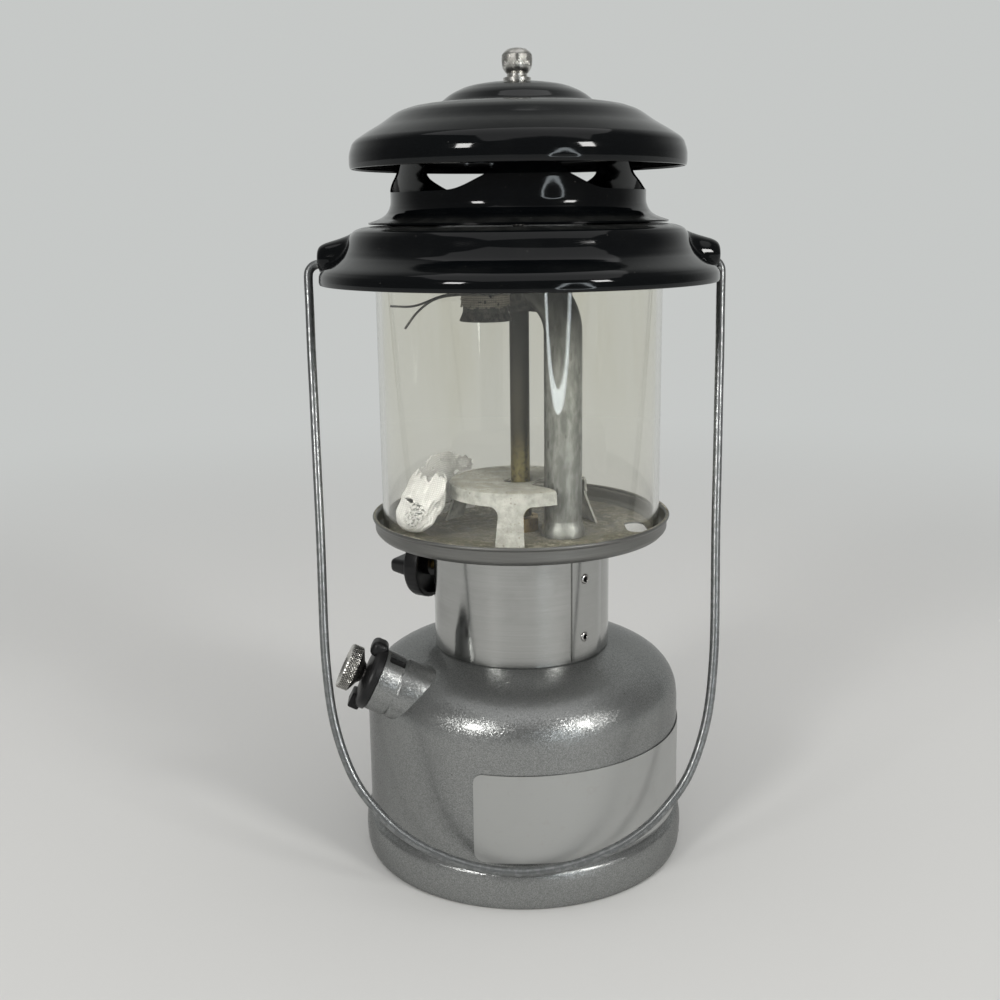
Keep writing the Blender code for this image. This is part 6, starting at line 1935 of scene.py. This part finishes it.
def ragged(x, seed, scale):
    """A repeatable uneven number from zero to one."""
    return noise.noise(Vector((x * scale, seed, 0.37))) * 0.5 + 0.5


print("cloth helpers are ready")

# %% Make the remnants round the burner caps


def make_remnant(side, angle, seed):
    radius = 9.95 * MM
    width = TURN * radius
    height = 7.4 * MM
    bm = flat_cloth(width, height, 132, 16)
    bottom = 248.75 * MM

    def gone(u, v):
        edge = 3.4 * MM * ragged(u / MM, seed, 0.22) ** 1.4 + 1.2 * MM * ragged(u / MM, seed + 5, 1.1)
        top = height - 1.3 * MM * ragged(u / MM, seed + 9, 0.8)
        hole = noise.noise(Vector((u / MM * 0.8, v / MM * 0.9, seed + 20))) > 0.42
        return v < edge or v > top or hole

    crumble(bm, gone)
    centre = round_from_front(angle, BURNER_OUT * MM)
    for vert in bm.verts:
        u, v = vert.co.x, vert.co.z
        turn = u / radius
        swell = 0.55 * MM * noise.noise(Vector((math.cos(turn) * 3, math.sin(turn) * 3, v / MM * 0.5 + seed)))
        flare = 0.9 * MM * max(0.0, 1 - v / (4 * MM)) ** 2
        r = radius + abs(swell) + flare * ragged(u / MM, seed + 2, 0.3)
        vert.co = centre + Vector((r * math.cos(turn), r * math.sin(turn), bottom + v))
    bmesh.ops.remove_doubles(bm, verts=bm.verts, dist=1e-6)
    mend_normals(bm)
    bmesh.ops.solidify(bm, geom=bm.faces[:], thickness=-0.45 * MM)
    piece = finish_piece(f"torn_mantle_{side}", bm, "base", REMNANT_CLOTH, [f"mantle_remnant_{side}"],
                         sharp_from=80, clean=False)
    return piece


make_remnant("near", BURNERS["near"], 3.0)
make_remnant("far", BURNERS["far"], 11.0)

# %% Make the two scraps on the tray


def make_scrap(name, corner, across, up, width, height, curl, arch, seed, stands_for):
    """A rumpled sheet that stands curled. It follows the plain solid, with folds and torn edges added."""
    across, up = Vector(across), Vector(up)
    normal = across.cross(up).normalized()
    bm = flat_cloth(width * MM, height * MM, int(width * 3), int(height * 3))

    def gone(u, v):
        left = width * MM * 0.05 * ragged(v / MM, seed, 0.5)
        right = width * MM * (1 - 0.07 * ragged(v / MM, seed + 3, 0.4))
        top = height * MM * (1 - 0.10 * ragged(u / MM, seed + 6, 0.35) - 0.05 * ragged(u / MM, seed + 7, 1.3))
        low = 0.6 * MM * ragged(u / MM, seed + 8, 1.2)
        hole = noise.noise(Vector((u / MM * 0.28, v / MM * 0.33, seed + 30))) > 0.50
        return u < left or u > right or v > top or v < low or hole

    crumble(bm, gone)
    for vert in bm.verts:
        u, v = vert.co.x / (width * MM), vert.co.z / (height * MM)
        fold = curl * width * math.sin(math.pi * u) * (0.4 + 0.6 * v)
        rumple = 0.04 * width * math.sin(7 * u + 4 * v) * math.sin(5 * v + 2 * u)
        crinkle = 0.55 * noise.noise(Vector((u * width * 0.35, v * height * 0.35, seed)))
        crinkle += 0.22 * noise.noise(Vector((u * width * 0.9, v * height * 0.9, seed + 1)))
        narrow = 1 - 0.08 * v * v
        rise = height * v * (1 - arch * (2 * u - 1) ** 2)
        vert.co = (Vector(corner) + across * width * (0.5 + (u - 0.5) * narrow) + up * rise
                   + normal * (fold + rumple + crinkle)) * MM
    mend_normals(bm)
    bmesh.ops.solidify(bm, geom=bm.faces[:], thickness=0.4 * MM)
    piece = finish_piece(name, bm, "base", SCRAP_CLOTH, [stands_for], sharp_from=80,
                         clean=False)
    return piece


def make_pouch():
    """The front scrap is the foot of a mantle: a small bag with a puckered end, squashed as it leans."""
    across, up = Vector((0.72, -0.694, 0)), Vector((0.36, 0.12, 0.925))
    normal = across.cross(up).normalized()
    around, tall, foot = 54.0, 34.0, 0.42
    bm = flat_cloth(around * MM, tall * MM, 136, 86)

    def place_on_circle(u):
        angle = TURN * u / around
        return math.cos(angle), math.sin(angle)

    def gone(u, v):
        c, s = place_on_circle(u / MM)
        top = 1 - 0.16 * (noise.noise(Vector((2.4 * c, 2.4 * s, 3.1))) + 0.5)
        worn = math.hypot(c - 0.3, s - 0.95) * 7.5
        pinholes = noise.noise(Vector((u / MM * 1.15, v / MM * 1.15, 6.0))) > 0.16
        in_patch = math.hypot(worn, (v / MM - 12.5) * 0.55) < 3.6
        slit = noise.noise(Vector((1.6 * c, 1.6 * s, v / MM * 0.30 + 9.0))) > 0.56
        return not 0.5 * MM < v < top * tall * MM or slit or (in_patch and pinholes)

    crumble(bm, gone)
    base = Vector((-48.9, -13.4, 151.0))
    for vert in bm.verts:
        c, s = place_on_circle(vert.co.x / MM)
        h = vert.co.z / MM / tall
        swing = min(1.0, h / foot) * math.pi / 2
        closing = max(0.0, (h - 0.6) / 0.4)
        half = 11.6 * math.sin(swing) * (1 - 0.30 * closing * closing)
        deep = 5.2 * math.sin(swing) * (1 - 0.55 * closing)
        crease = 1 + 0.34 * noise.noise(Vector((1.7 * c, 1.7 * s, 2.6 * h)))
        crease += 0.05 * math.sin(5 * math.atan2(s, c) + 6 * h)
        crease += 0.12 * noise.noise(Vector((5 * c, 5 * s, 8 * h + 2)))
        rise = tall * (foot * (1 - math.cos(swing)) * 0.62 + max(0.0, h - foot))
        vert.co = (base + (across * half * c + normal * deep * s) * crease + up * rise) * MM
    bmesh.ops.remove_doubles(bm, verts=bm.verts, dist=1e-6)
    mend_normals(bm)
    bmesh.ops.solidify(bm, geom=bm.faces[:], thickness=0.4 * MM)
    piece = finish_piece("burnt_scrap_front", bm, "base", SCRAP_CLOTH, ["mantle_scrap_front"],
                         sharp_from=80, clean=False)
    return piece


make_pouch()
make_scrap("burnt_scrap_back", (-48.6, 8.2, 150.05), (0.673, 0.739, 0), (0.02, -0.04, 0.999),
           40.0, 31.0, -0.10, 0.13, 8.0, "mantle_scrap_back")

# %% [markdown]
# ## Clip wire
# The near mantle was held by a spring wire: a loop round the burner's neck whose two ends stick out to
# the left. It is bent from points like the bail.

# %% Make the clip


def make_clip():
    centre = round_from_front(BURNERS["near"], BURNER_OUT)
    height = 255.9
    loop = []
    for index in range(14):
        angle = math.radians(235 + 250 * index / 13)
        loop.append(centre + Vector((10.75 * math.cos(angle), 10.75 * math.sin(angle), height)))
    low_leg = [(-47.1, -28.0, height - 14.25), (-41.7, -28.0, height - 7.1), (-33.4, -28.0, height - 1.7)]
    high_leg = [(-32.2, -20.3, height - 1.4), (-44.1, -15.5, height - 5.9), (-54.8, -10.1, height - 6.2)]
    points = [Vector(p) for p in high_leg[::-1]] + loop[::-1] + [Vector(p) for p in low_leg[::-1]]
    bm = bend_wire("clip", [p * MM for p in smooth_path(points, 5, 1)], 0.5 * MM, 3)
    return finish_piece("clip_wire", bm, "base", SOOT, ["mantle_clip"], sharp_from=50)


make_clip()

# %% [markdown]
# ## Parts that stay as they are
# The parts inside the tank and the burners are never seen except through an opening. Their plain solids
# are kept, with finishes of their own.

# %% Give the kept solids their finishes
KEPT = {
    "pump_barrel": BRASS, "pump_cup": LEATHER, "cup_nut": STEEL, "check_valve": BRASS, "air_stem": STEEL,
    "valve_body": BRASS, "fuel_pickup_tube": BRASS, "gas_tip": BRASS, "cleaning_needle": STEEL,
    "burner_screens_near": SOOT, "burner_screens_far": SOOT,
}
for node_name, material in KEPT.items():
    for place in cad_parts[node_name].material_slots:
        place.material = material
print("kept solids:", len(KEPT))
